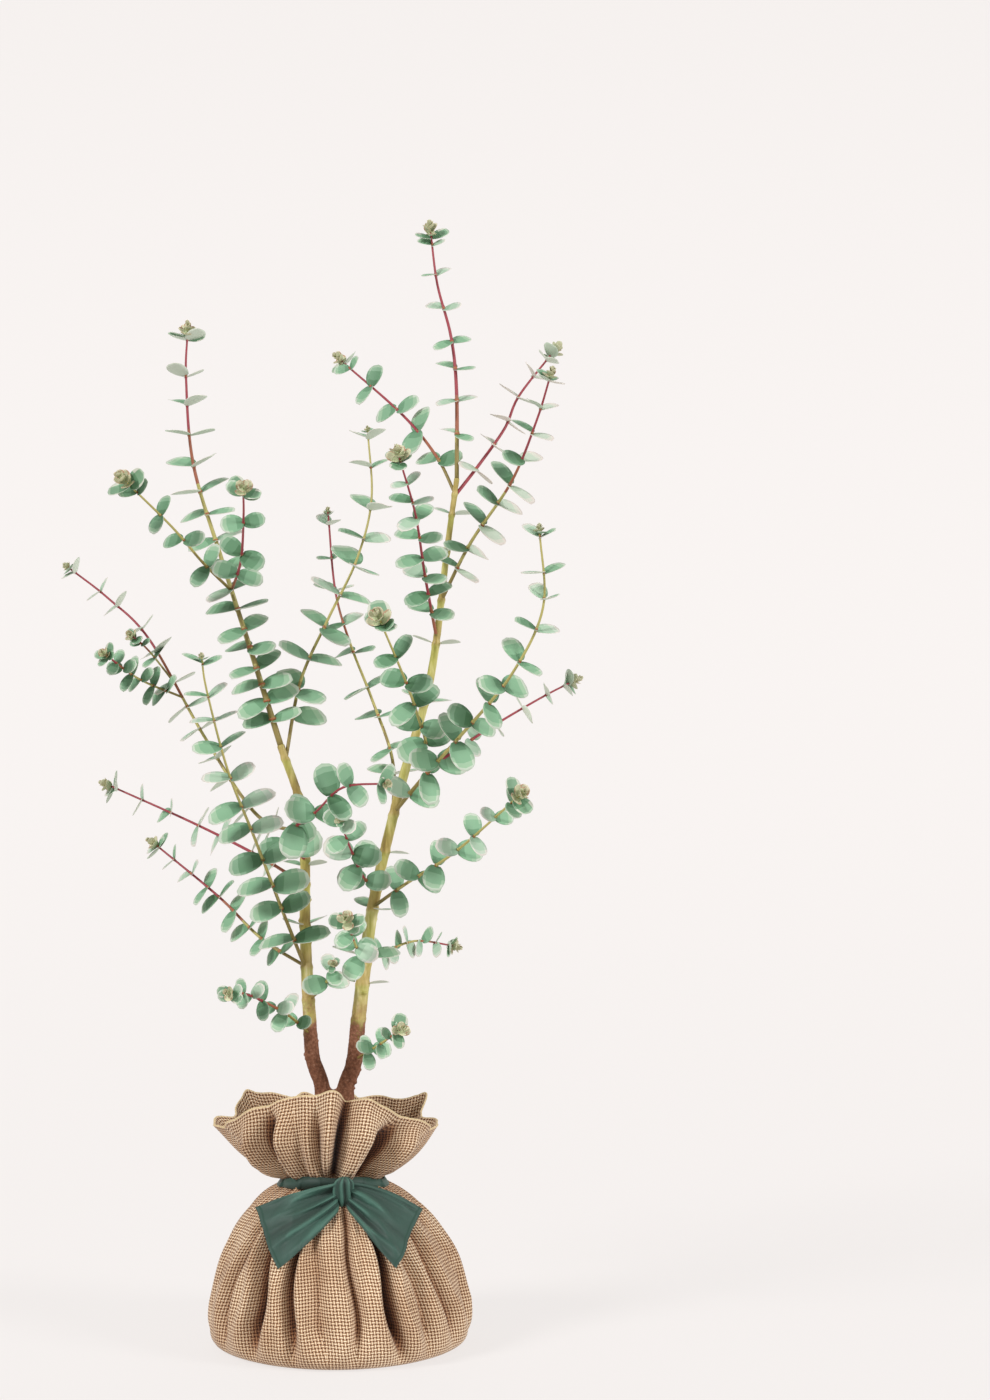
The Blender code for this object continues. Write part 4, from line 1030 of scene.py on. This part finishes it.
def grow_leaves(spray, shoot):
    """Set a shoot's pairs of leaves on its twig."""
    line = shoot_lines[shoot["name"]]
    whole = lengths_along(line)[-1]
    at_foot, at_tip = TONE_SHARES[shoot["tone"]]
    chance = random.Random(f"leaves {shoot['name']}")
    for distance, length, turn, rise in shoot_places[shoot["name"]]:
        shares = [a + (b - a) * distance / whole for a, b in zip(at_foot, at_tip)]
        at_end = shoot.get("tip_face", shoot["face"])
        face = shoot["face"] + (at_end - shoot["face"]) * distance / whole
        for step, half_turn in ((0.0, 0.0), (PAIR_STEP, math.pi)):
            place, direction = place_on(line, distance - step)
            direction = faced(direction, face)
            mesh = chance.choice(leaf_meshes)
            tone = chance.choices(tuple(TONE_SHARES), shares)[0]
            if shoot.get("paler") == "right":
                tone = "dark" if math.cos(turn + half_turn) > 0 else "blush"
            points = placed_leaf(
                mesh, mass_of(shoot), place, direction, length * chance.uniform(0.98, 1.10),
                turn + half_turn, rise + chance.uniform(-0.10, 0.10), chance.uniform(-0.22, 0.22))
            if points:
                add_leaf(spray, mesh, points, tone)


# Some pairs sit straight on the stems: height, leaf length, turn and tone.
STEM_PAIR_RISE = 0.25
STEM_PAIRS = {
    "left_stem": ((0.4183, 0.018, 0.5, "fresh"), (0.3670, 0.022, -0.9, "fresh")),
    "right_stem": (
        (0.7260, 0.016, 0.3, "pale"), (0.6940, 0.017, 1.2, "pale"), (0.6135, 0.019, 0.2, "fresh"),
        (0.5632, 0.024, -0.7, "fresh"), (0.4325, 0.018, 0.2, "pale"),
        (0.3825, 0.019, 0.9, "fresh"), (0.3405, 0.026, -0.3, "fresh"),
        (0.3167, 0.018, 0.1, "pale"),
    ),
}


def grow_stem_pairs(spray, stem):
    """Set the pairs that sit straight on a stem against its bark."""
    line = stem_lines[stem]
    chance = random.Random(f"pairs {stem}")
    for height, length, turn, tone in STEM_PAIRS[stem]:
        place = at_height(line, height)
        ahead = (at_height(line, height + 0.005) - place).normalized()
        radius = stem_radius(stem, (height - FORK_Z) / (line[-1].z - FORK_Z))
        for half_turn in (0.0, math.pi):
            mesh = chance.choice(leaf_meshes)
            roll = chance.uniform(-0.3, 0.3)
            lay = leaf_frame(place, ahead, turn + half_turn, STEM_PAIR_RISE, roll)
            out = Matrix.Translation((radius + LEAF_CLASP * length, 0, 0))
            points = [lay @ out @ (v.co * length) for v in mesh.vertices]
            faces = faces_of(mesh)
            if is_clear(points, faces, "limbs"):
                in_the_way.append(("limbs", search_tree(points, faces)))
                add_leaf(spray, mesh, points, tone)


def make_spray(name, spray):
    """A piece of all the leaves of a spray."""
    mesh = bpy.data.meshes.new(name)
    mesh.from_pydata(spray["points"], [], spray["faces"])
    for skin in leaf_skins:
        mesh.materials.append(skin)
    mesh.polygons.foreach_set("material_index", spray["tones"])
    piece = bpy.data.objects.new(name, mesh)
    bpy.context.scene.collection.objects.link(piece)
    select_only(piece)
    bpy.ops.object.shade_smooth()
    return piece


for stem in ("left_stem", "right_stem"):
    spray = {"points": [], "faces": [], "tones": []}
    grow_stem_pairs(spray, stem)
    for shoot in SHOOTS:
        if stem_of(shoot) == stem:
            grow_leaves(spray, shoot)
    leaves = make_spray(stem + "_leaves", spray)
    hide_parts(*masses_on(stem))
    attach(leaves, "root")


# ---- The young tips
#
# Each shoot ends in a cluster of unopened pairs, each pair a quarter turn from the last and
# smaller, cupped over the next. They are yellow green to beige and still red at the foot.

TIP_PAIRS = (  # leaf length in tips, rise and tone
    (0.82, 0.25, "dark"), (0.54, 0.45, "young"), (0.46, 0.70, "young"), (0.40, 0.85, "young"),
    (0.31, 1.05, "young"), (0.22, 1.30, "young"),
)
TIP_FOOT = -0.28  # place of the first pair past the twig's end, in tips
TIP_STEP = 0.12  # and how far apart pairs are
TIP_FACE = 0.8  # how much it faces the front, of the shoot's `face`
TIP_TURN = 0.35  # the most that a leaf is turned or rolled off its place

tips = {"points": [], "faces": [], "tones": []}
for shoot in SHOOTS:
    line = shoot_lines[shoot["name"]]
    direction = faced((line[-1] - line[-2]).normalized(), TIP_FACE * shoot["face"])
    chance = random.Random(f"tip {shoot['name']}")
    start_turn = chance.uniform(0, math.pi)
    for k, (share, rise, tone) in enumerate(TIP_PAIRS):
        place = line[-1] + direction * (TIP_STEP * k + TIP_FOOT) * shoot["tip"]
        for half_turn in (0.0, math.pi):
            turn = start_turn + k * math.pi / 2 + half_turn + chance.uniform(-TIP_TURN, TIP_TURN)
            length = shoot["tip"] * share * chance.uniform(0.9, 1.1)
            roll = chance.uniform(-TIP_TURN, TIP_TURN)
            lay = leaf_frame(place, direction, turn, rise + chance.uniform(-0.2, 0.2), roll)
            points = [lay @ (v.co * length) for v in young_mesh.vertices]
            add_leaf(tips, young_mesh, points, tone)
young_tips = make_spray("young_tips", tips)
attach(young_tips, "root")
for mesh in (*leaf_meshes, young_mesh):
    bpy.data.meshes.remove(mesh)


# ---- The open ruffle of the sack
#
# Above the tie the burlap is left loose. It stands up in a ruffle that spreads to both sides,
# with a few deep flutes in front, a selvedge painted pale as a highlight, and two corners of the
# square of cloth behind.

RUFFLE_CLOTH = (0.0870, 0.0765, 0.0755)  # free cloth above the tie: in front, left and right
RUFFLE_BACK = 0.0200  # how much shorter it is behind than in front
RUFFLE_WAVES = ((0.0012, 7, 0.6), (0.0007, 13, 0.0))  # of its rim: height, number and start
RUFFLE_START = (60, 24, 22)  # slope over the tie
RUFFLE_END = (87, 52, 54)  # slope at the rim
RUFFLE_NECK = 0.0060  # the cloth under the ribbon stands upright in front, but not at the sides
RUFFLE_GAP = 0.0008  # it starts this far outside the sack's neck
RUFFLE_LEAN = -0.006  # the rim's middle lies a little to the left of the neck
RUFFLE_PLEAT = 0.0010  # depth of the neck's small pleats
RUFFLE_LUMP = 0.0030
RUFFLE_FOLD_SHADE = (0.003, 0.008)  # depth at which a flute starts to be darkened with painted shade, and how far it grows
RUFFLE_THICK = 0.0014
RUFFLE_STRIP = 0.0780  # the strip of cloth that it is shaped from
RUFFLE_LEVELS = 78
RUFFLE_FLUTES = (  # angle at the rim, at the neck, depth, half width, share of depth at the rim
    (-74, -80, 0.0050, 0.0050, 0.8), (-42, -58, 0.0340, 0.0066, 0.12),
    (-24, -32, 0.0035, 0.0060, 0.5), (-5, -10, 0.0100, 0.0046, 0.10),
    (22, 2, 0.0190, 0.0056, 0.55), (57, 38, 0.0340, 0.0074, 0.12),
    (82, 78, 0.0050, 0.0050, 0.7),
    (108, 108, 0.0090, 0.0060, 0.7), (150, 150, 0.0100, 0.0065, 0.6),
    (172, 172, 0.0070, 0.0060, 0.7), (-108, -108, 0.0090, 0.0060, 0.7),
    (-147, -147, 0.0095, 0.0065, 0.6), (-168, -168, 0.0060, 0.0055, 0.7),
)
RUFFLE_CORNERS = ((-124, 0.013, 4), (117, 0.013, 4))  # angle, extra cloth, half width


def flute_angle(flute, up):
    """Where a flute runs at a share of the way from the neck to the rim."""
    return math.radians(flute[1] + (flute[0] - flute[1]) * up)


def sideways(angle):
    """How far an angle is to the side: 0 in front and behind, 1 at the left and the right."""
    return abs(math.sin(angle)) ** 3


def mixed(front_left_right, angle):
    """A value between those in front and behind, at the left and at the right."""
    front, left, right = front_left_right
    return front + ((left if math.sin(angle) < 0 else right) - front) * sideways(angle)


def ruffle_path(angle):
    """Distances outward and upward of each level of the free cloth at an angle."""
    cloth = mixed(RUFFLE_CLOTH, angle)
    cloth -= RUFFLE_BACK * (1 - sideways(angle)) * (0.5 - 0.5 * math.cos(angle))
    for place, extra, wide in RUFFLE_CORNERS:
        off = turn_between(angle, math.radians(place)) / math.radians(wide)
        cloth += extra / (1 + off * off)
    cloth += sum(tall * math.sin(many * angle + start) for tall, many, start in RUFFLE_WAVES)
    start, end = mixed(RUFFLE_START, angle), mixed(RUFFLE_END, angle)
    neck = RUFFLE_NECK * (1 - sideways(angle))
    step = cloth / RUFFLE_LEVELS
    path = [(0.0, 0.0)]
    for level in range(1, RUFFLE_LEVELS + 1):
        slope = math.radians(start + (end - start) * ease(0.0, 1.0, level / RUFFLE_LEVELS))
        if level * step < neck:
            slope = math.pi / 2
        outward, rise = path[-1]
        path.append((outward + step * math.cos(slope), rise + step * math.sin(slope)))
    return path


def shape_ruffle(ruffle, levels, angles):
    """Spread the turned cloth into the ruffle, and press its flutes."""
    folded = ruffle.data.attributes.new("folded", "FLOAT", "POINT")
    shade_start, shade_growth = RUFFLE_FOLD_SHADE
    paths = {}
    for v in ruffle.data.vertices:
        angle = angles[v.index]
        column = round(angle / (2 * math.pi) * SACK_SIDES)
        if column not in paths:
            paths[column] = ruffle_path(angle)
        outward, rise = paths[column][levels[v.index]]
        up = levels[v.index] / RUFFLE_LEVELS
        radius = NECK_R + RUFFLE_GAP + outward
        pressed = 0.0
        for flute in RUFFLE_FLUTES:
            _, _, deep, wide, at_rim = flute
            off_line = turn_between(angle, flute_angle(flute, up)) * radius
            grown = ease(0.0, 0.16, up) * (1 - (1 - at_rim) * ease(0.50, 1.0, up))
            grown = min(grown, (outward + 0.014) / deep)
            pressed += deep * grown * crease(off_line, wide * (0.75 + 0.45 * up))
        pleats = RUFFLE_PLEAT * math.cos(GATHER_COUNT * angle) * (1 - ease(0.0, 0.45, up))
        lump = noise.noise(Vector((math.sin(angle) * 3, math.cos(angle) * 3, up * 2.2)))
        radius += RUFFLE_LUMP * lump * up - pressed - pleats
        # Painted shade: the flutes and the neck's small pleats are darkened, and less so behind.
        painted_fold_shade = max(pressed - shade_start, 0.0) / shade_growth + 90 * max(pleats, 0.0)
        folded.data[v.index].value = painted_fold_shade * (0.6 + 0.4 * math.cos(angle))
        lift = 0.5 * pressed * up * up
        x = math.sin(angle) * radius + NECK_X + RUFFLE_LEAN * up
        v.co = (x, -math.cos(angle) * radius, NECK_Z + rise - lift)


def stiffen(cloth, thickness):
    """Turn a cloth's faces one way and give it its thickness, half to each side."""
    select_only(cloth)
    bpy.ops.object.mode_set(mode="EDIT")
    bpy.ops.mesh.select_all(action="SELECT")
    bpy.ops.mesh.normals_make_consistent(inside=False)
    bpy.ops.object.mode_set(mode="OBJECT")
    body = cloth.modifiers.new("body", "SOLIDIFY")
    body.thickness = thickness
    body.offset = 0.0
    bpy.ops.object.modifier_apply(modifier="body")
    bpy.ops.object.shade_smooth()


ruffle_steps = [RUFFLE_STRIP * i / RUFFLE_LEVELS for i in range(RUFFLE_LEVELS + 1)]
ruffle_profile = [Vector((NECK_R, 0, NECK_Z + step)) for step in ruffle_steps]
ruffle = turned_cloth("burlap_ruffle", ruffle_profile, closed=False)
ruffle_angles = [angle_from_front(v.co) for v in ruffle.data.vertices]
ruffle_levels = [
    int(np.abs(np.array(ruffle_steps) - (v.co.z - NECK_Z)).argmin())
    for v in ruffle.data.vertices
]
shape_ruffle(ruffle, ruffle_levels, ruffle_angles)
lay_weave(
    ruffle, ruffle_angles, ruffle_levels, ruffle_steps,
    lambda level: sorted(
        turn_between(flute_angle(f, level / RUFFLE_LEVELS), 0) for f in RUFFLE_FLUTES),
)
# The top row of faces takes the selvedge's painted highlight.
for face in ruffle.data.polygons:
    if min(ruffle_levels[i] for i in face.vertices) == RUFFLE_LEVELS - 1:
        face.material_index = 1
stiffen(ruffle, RUFFLE_THICK)
# Painted highlight: the selvedge's pale colour stands in for light caught by the cloth's edge.
selvedge_highlight, tree = new_material("burlap_selvedge")
weave = add_node(tree, "UVMap", uv_map="weave")
bead = add_node(tree, "TexNoise", {"Vector": weave, "Scale": 900.0, "Detail": 1.0})
lift = add_node(tree, "Bump", {"Height": bead, "Strength": 0.6, "Distance": 0.0005})
shader = add_node(tree, "BsdfPrincipled", {
    "Base Color": linear("#d2bb92"), "Roughness": 0.9, "Normal": lift})
add_node(tree, "OutputMaterial", {"Surface": shader})
ruffle.data.materials.append(burlap)
ruffle.data.materials.append(selvedge_highlight)
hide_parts("sack_collar")
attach(ruffle, "root")


# ---- The ribbon
#
# A wide ribbon of finely woven dark green cloth is tied once round the neck. Its two ends fan
# out from the knot in soft pleats and lie on the sack. Each end is cut straight and hemmed.
# Its attribute `raised` is 0 at the bottom of a pleat and 1 on its ridge. The cloth is darker
# in a pleat and paler on its ridge: painted shade and painted highlight.

RIBBON_THICK = 0.0007
ribbon_cloth, tree = new_material("green_cotton_ribbon")
place = add_node(tree, "TexCoord")
shade = add_node(tree, "TexNoise", {
    "Vector": place.outputs["Object"], "Scale": 60.0, "Detail": 3.0})
# Painted shade and highlight: by `raised` the cloth is darker in its pleats and paler on their
# ridges, and the noise adds a random tone.
raised = add_node(tree, "Attribute", attribute_name="raised")
tone_and_pleat_shade = add_node(
    tree, "Math", {0: shade, 1: 0.3, 2: raised.outputs["Fac"]}, operation="MULTIPLY_ADD")
tone = add_node(
    tree, "ValToRGB", {"Fac": tone_and_pleat_shade},
    stops=((0.15, "#14261f"), (0.50, "#263f36"), (0.85, "#2f4f44"), (1.00, "#3e6457")))
threads = add_node(tree, "TexNoise", {
    "Vector": place.outputs["Object"], "Scale": 1500.0, "Detail": 1.0})
lift = add_node(tree, "Bump", {"Height": threads, "Strength": 0.25, "Distance": 0.0002})
shader = add_node(tree, "BsdfPrincipled", {
    "Base Color": tone, "Roughness": 0.62, "Normal": lift,
    "Sheen Weight": 0.12, "Sheen Roughness": 0.4})
add_node(tree, "OutputMaterial", {"Surface": shader})
stitching = plain_material("ribbon_stitching", "#274439", 0.8, 0.3)


def finish_ribbon(piece, node):
    """Give cut cloth its thickness, its material and its part."""
    stiffen(piece, RIBBON_THICK)
    piece.data.materials.append(ribbon_cloth)
    piece.data.materials.append(stitching)
    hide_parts(node)
    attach(piece, "root")


# The band: one turn round the neck, creased along its middle where it is pulled tight.
BAND_FOOT = 0.1432
BAND_TALL = 0.0120
BAND_R = 0.0432
BAND_DROP = 0.0058  # the ruffle's cloth presses it down at the sides
BAND_SPREAD = 0.0024  # and pushes its lower edge out there
BAND_NARROW = (0.52, 0.28)  # share of its height that it loses at the sides, and by the knot
BAND_BULGE = 0.0012
BAND_CREASE = 0.0005
BAND_CLEAR = 0.0030  # it stays this far outside the sack's neck
BAND_LEVELS = 12

bpy.ops.mesh.primitive_cylinder_add(
    vertices=240, radius=BAND_R, depth=BAND_TALL, end_fill_type="NOTHING",
    location=(NECK_X, 0, BAND_FOOT + BAND_TALL / 2))
band = bpy.context.object
band.name = "ribbon_band"
bpy.ops.object.transform_apply(location=True, rotation=True, scale=True)
bpy.ops.object.mode_set(mode="EDIT")
bpy.ops.mesh.select_all(action="SELECT")
bpy.ops.mesh.subdivide_edgering(number_cuts=BAND_LEVELS - 1, smoothness=0.0)
bpy.ops.object.mode_set(mode="OBJECT")
raised = band.data.attributes.new("raised", "FLOAT", "POINT")
for v in band.data.vertices:
    up = (v.co.z - BAND_FOOT) / BAND_TALL * 2 - 1
    angle = math.atan2(v.co.x - NECK_X, -v.co.y)
    side = sideways(angle)
    bulge = BAND_BULGE * (1 - up * up)
    creases = BAND_CREASE * math.sin(9 * up + 3 * math.sin(angle) + 2)
    # Painted shade and highlight on the band's creases, through `raised`.
    raised.data[v.index].value = 0.45 + 500 * creases
    share = (BAND_R + bulge + creases + BAND_SPREAD * side * (1 - 0.5 * up)) / BAND_R
    by_knot = math.exp(-(((angle - 0.1) / 0.35) ** 2))
    tall = BAND_TALL * (1 - BAND_NARROW[0] * side) * (1 - BAND_NARROW[1] * by_knot)
    height = BAND_FOOT + BAND_TALL / 2 - BAND_DROP * side + up * tall / 2
    under = next((p.x for p in profile_line if p.z >= height), NECK_R) + BAND_CLEAR
    share = max(share, under / BAND_R)
    v.co = (NECK_X + (v.co.x - NECK_X) * share, v.co.y * share, height)
finish_ribbon(band, "ribbon_band")

# The knot: a short upright roll of gathered cloth in front of the band.
KNOT_MIDDLE = Vector((0.0058, -0.0550, 0.1435))
KNOT_HALF = Vector((0.0078, 0.0068, 0.0140))
KNOT_LEAN = Vector((0.0016, -0.0020, 0))  # of its top
KNOT_FOLDS = (0.19, 7)  # depth, of its half width, and number round it
KNOT_CREASES = (0.06, 12)

bpy.ops.mesh.primitive_uv_sphere_add(segments=64, ring_count=40, radius=1)
knot = bpy.context.object
knot.name = "ribbon_knot"
raised = knot.data.attributes.new("raised", "FLOAT", "POINT")
for v in knot.data.vertices:
    turn = angle_from_front(v.co)
    up = v.co.z
    girth = math.hypot(v.co.x, v.co.y)
    full = (1 - abs(up) ** 3.2) ** 0.5 if abs(up) < 1 else 0.0
    folds = KNOT_FOLDS[0] * math.cos(KNOT_FOLDS[1] * turn + 1.1 * math.sin(2.4 * up) + 0.7)
    folds += KNOT_CREASES[0] * math.cos(KNOT_CREASES[1] * turn + 3 * up)
    # Painted shade and highlight on the knot's folds, through `raised`.
    raised.data[v.index].value = 0.6 + 2 * folds
    waist = 1 + 0.12 * up * up
    share = (full * waist * (1 + folds) / girth) if girth > 0.001 else 0.0
    swollen = Vector((v.co.x * share, v.co.y * share, up))
    v.co = KNOT_MIDDLE + swollen * KNOT_HALF + KNOT_LEAN * up
select_only(knot)
bpy.ops.object.shade_smooth()
knot.data.materials.append(ribbon_cloth)
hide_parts("ribbon_knot")
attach(knot, "root")

# The two ends: each a strip gathered small in the knot, and as wide as the ribbon at its hem.
WING_GRID = (56, 48)
WING_CLEAR = 0.0024  # it lies this far off the highest parts of the sack
WING_LIFT = 0.0022  # and its pleats start this far outside that
WING_ROUNDS = 240  # of letting it settle
KNOT_PLEATS = (0.0030, 3.4)  # height of the pleats that the knot presses in, and their number
SOFT_PLEATS = ((4.0, 0.0085, 0.5), (9.0, 0.0045, 3.5))  # number across, height and seed
WRINKLES = 0.0006
PLEAT_FLOOR = -0.0016  # no pleat goes lower
TOP_FOLD = (0.0024, 0.085, 0.022)  # depth, place and half width of a fold along the right end
HEM_THICK = 0.0004
HEM_WIDE = 2.4  # in columns of the grid
STITCH_COLUMN = 3  # from the cut edge
WINGS = {  # at the knot: top, foot. At the hem: top, foot. Then the sag of top and lower edge.
    "left": ((0.003, -0.052, 0.1530), (0.003, -0.057, 0.1310), (-0.0665, -0.050, 0.1300),
             (-0.0425, -0.092, 0.0870), 0.002, -0.004),
    "right": ((0.008, -0.052, 0.1530), (0.009, -0.057, 0.1310), (0.0715, -0.040, 0.1265),
              (0.0480, -0.089, 0.0870), 0.005, -0.002),
}
sack_skin = solid_of(sack)[0]


def off_the_sack(point):
    """How far a point has to move away from the sack's axis to be clear of its cloth."""
    outward = Vector((point.x, point.y, 0)).normalized()
    start = Vector((0, 0, point.z)) + outward * 0.3
    hit, *_ = sack_skin.ray_cast(start, -outward)
    if hit is None:
        return 0.0
    reach = math.hypot(hit.x, hit.y) + WING_CLEAR
    return reach - math.hypot(point.x, point.y)


def model_wing(side):
    """One end of the ribbon, laid over the sack like a cloth under light tension."""
    top_in, foot_in, top_out, foot_out, top_sag, foot_sag = WINGS[side]
    top_in, foot_in, top_out, foot_out = map(Vector, (top_in, foot_in, top_out, foot_out))
    wide, tall = WING_GRID
    bpy.ops.mesh.primitive_grid_add(x_subdivisions=wide, y_subdivisions=tall, size=2)
    wing = bpy.context.object
    wing.name = f"ribbon_{side}_end"
    places = {}
    for v in wing.data.vertices:
        out = (v.co.x + 1) / 2
        down = (1 - v.co.y) / 2
        places[round(out * wide), round(down * tall)] = v.index
    spots = np.zeros((wide + 1, tall + 1, 3))
    needed = np.zeros((wide + 1, tall + 1))
    for i, j in places:
        out, down = i / wide, j / tall
        sag = math.sin(math.pi * out)
        top = top_in.lerp(top_out, out) + Vector((0, 0, top_sag)) * sag
        foot = foot_in.lerp(foot_out, out) + Vector((0, 0, foot_sag)) * sag
        point = top.lerp(foot, down)
        spots[i, j] = point
        needed[i, j] = off_the_sack(point)
    push = np.maximum(needed, 0.0)
    for _ in range(WING_ROUNDS):
        edged = np.pad(push, 1, mode="edge")
        spread = (edged[:-2, 1:-1] + edged[2:, 1:-1] + edged[1:-1, :-2] + edged[1:-1, 2:]) / 4
        push = np.maximum(needed, spread)
        push[0] = 0.0
    raised = wing.data.attributes.new("raised", "FLOAT", "POINT")
    start = 0.0 if side == "left" else 5.0
    for (i, j), index in places.items():
        out, down = i / wide, j / tall
        point = Vector(spots[i, j])
        outward = Vector((point.x, point.y, 0)).normalized()
        deep, many = KNOT_PLEATS
        pleats = deep * (1 - out) ** 1.6 * math.sin(2 * math.pi * many * down + 0.6)
        for many, deep, seed in SOFT_PLEATS:
            across = noise.noise(Vector((many * down + start, 1.2 * out, seed)))
            pleats += deep * (0.3 - abs(across)) * (1.15 - 0.95 * out**2)
        pleats += WRINKLES * noise.noise(Vector((7 * (down - out) + start, 5 * out, 7.5)))
        if side == "right":
            deep, place, half = TOP_FOLD
            deep *= min(4 * out, 8 * (1 - out), 1.0)
            pleats -= deep * math.exp(-(((down - place) / half) ** 2))
        # Painted shade and highlight on the end's pleats, through `raised`.
        raised.data[index].value = 0.5 + pleats / 0.009
        eased_in = min(out / 0.06, 1.0)
        hem = HEM_THICK if wide * (1 - out) < HEM_WIDE else 0.0
        wing.data.vertices[index].co = point + outward * (
            push[i, j] + (max(pleats, PLEAT_FLOOR) + WING_LIFT) * eased_in + hem)
    columns = {index: i for (i, _), index in places.items()}
    for face in wing.data.polygons:
        if min(columns[i] for i in face.vertices) == wide - STITCH_COLUMN:
            face.material_index = 1
    return wing


for side in WINGS:
    finish_ribbon(model_wing(side), f"ribbon_{side}_tail")


# ---- The studio
#
# A pale sweep of opal sheet, lit through from behind, that rises behind the plant without a
# corner, soft light from both sides in front, and the camera. A camera that goes round the
# plant at about 4 m stays within the sweep.

SWEEP_Y = (-5.6, 3.1)  # the sweep's front edge, and where it starts to rise
SWEEP_WIDTH = 12.6
BEND_RADIUS = 2.1
BEND_PIECES = 16
SWEEP_TOP = 7.0


def make_sweep():
    """The sweep: a strip extruded sideways from the line of floor, bend and wall."""
    front, bend = SWEEP_Y
    line = [Vector((0, front, 0)), Vector((0, bend, 0))]
    for i in range(1, BEND_PIECES + 1):
        turn = math.pi / 2 * i / BEND_PIECES
        rise = BEND_RADIUS * (1 - math.cos(turn))
        line.append(Vector((0, bend + BEND_RADIUS * math.sin(turn), rise)))
    line.append(Vector((0, bend + BEND_RADIUS, SWEEP_TOP)))
    bm = bmesh.new()
    sides = []
    for x in (-SWEEP_WIDTH / 2, SWEEP_WIDTH / 2):
        sides.append([bm.verts.new(p + Vector((x, 0, 0))) for p in line])
    for i in range(len(line) - 1):
        bm.faces.new((sides[0][i], sides[1][i], sides[1][i + 1], sides[0][i + 1]))
    mesh = bpy.data.meshes.new("opal_sweep")
    bm.to_mesh(mesh)
    bm.free()
    sweep = bpy.data.objects.new("opal_sweep", mesh)
    bpy.context.scene.collection.objects.link(sweep)
    select_only(sweep)
    bpy.ops.object.shade_smooth()
    return sweep


sweep = make_sweep()
opal, tree = new_material("opal_sheet")
shader = add_node(tree, "BsdfPrincipled", {
    "Base Color": linear("#6b6867"), "Roughness": 0.95, "Specular IOR Level": 0.1,
    "Emission Color": linear("#f7f3f1"), "Emission Strength": 0.795})
add_node(tree, "OutputMaterial", {"Surface": shader})
sweep.data.materials.append(opal)


def soft_sun(name, direction, softness, strength):
    """A broad distant light that shines along a direction."""
    light = bpy.data.lights.new(name, "SUN")
    light.angle = math.radians(softness)
    light.energy = strength
    lamp = bpy.data.objects.new(name, light)
    lamp.rotation_euler = Vector(direction).to_track_quat("-Z", "Y").to_euler()
    bpy.context.scene.collection.objects.link(lamp)


soft_sun("key_light", (0.72, 0.58, -0.72), 16, 2.05)
soft_sun("fill_light", (-0.95, 0.55, -0.50), 20, 1.75)

# The room beyond the sweep is dimmer than the sweep. Where the camera sees past the sweep, it
# sees cloth as pale as it.
world = bpy.data.worlds.new("studio")
bpy.context.scene.world = world
world.use_nodes = True
tree = world.node_tree
tree.nodes.clear()
room = add_node(tree, "Background", {"Color": linear("#fffdfb"), "Strength": 0.42})
hangings = add_node(tree, "Background", {"Color": linear("#f5f1ee")})
path = add_node(tree, "LightPath")
seen = add_node(tree, "MixShader", {0: path.outputs["Is Camera Ray"], 1: room, 2: hangings})
add_node(tree, "OutputWorld", {"Surface": seen})

CAMERA_PLACE = (0.137, -3.0, 0.713)
CAMERA_PITCH = math.radians(2.82)  # it looks down a little
CAMERA_LENS = 88.71

camera_data = bpy.data.cameras.new("camera")
camera_data.lens = CAMERA_LENS
camera_data.sensor_width = 36.0
camera = bpy.data.objects.new("camera", camera_data)
camera.location = CAMERA_PLACE
camera.rotation_euler = (math.pi / 2 - CAMERA_PITCH, 0, 0)
bpy.context.scene.collection.objects.link(camera)
bpy.context.scene.camera = camera
bpy.context.scene.view_settings.view_transform = "Standard"
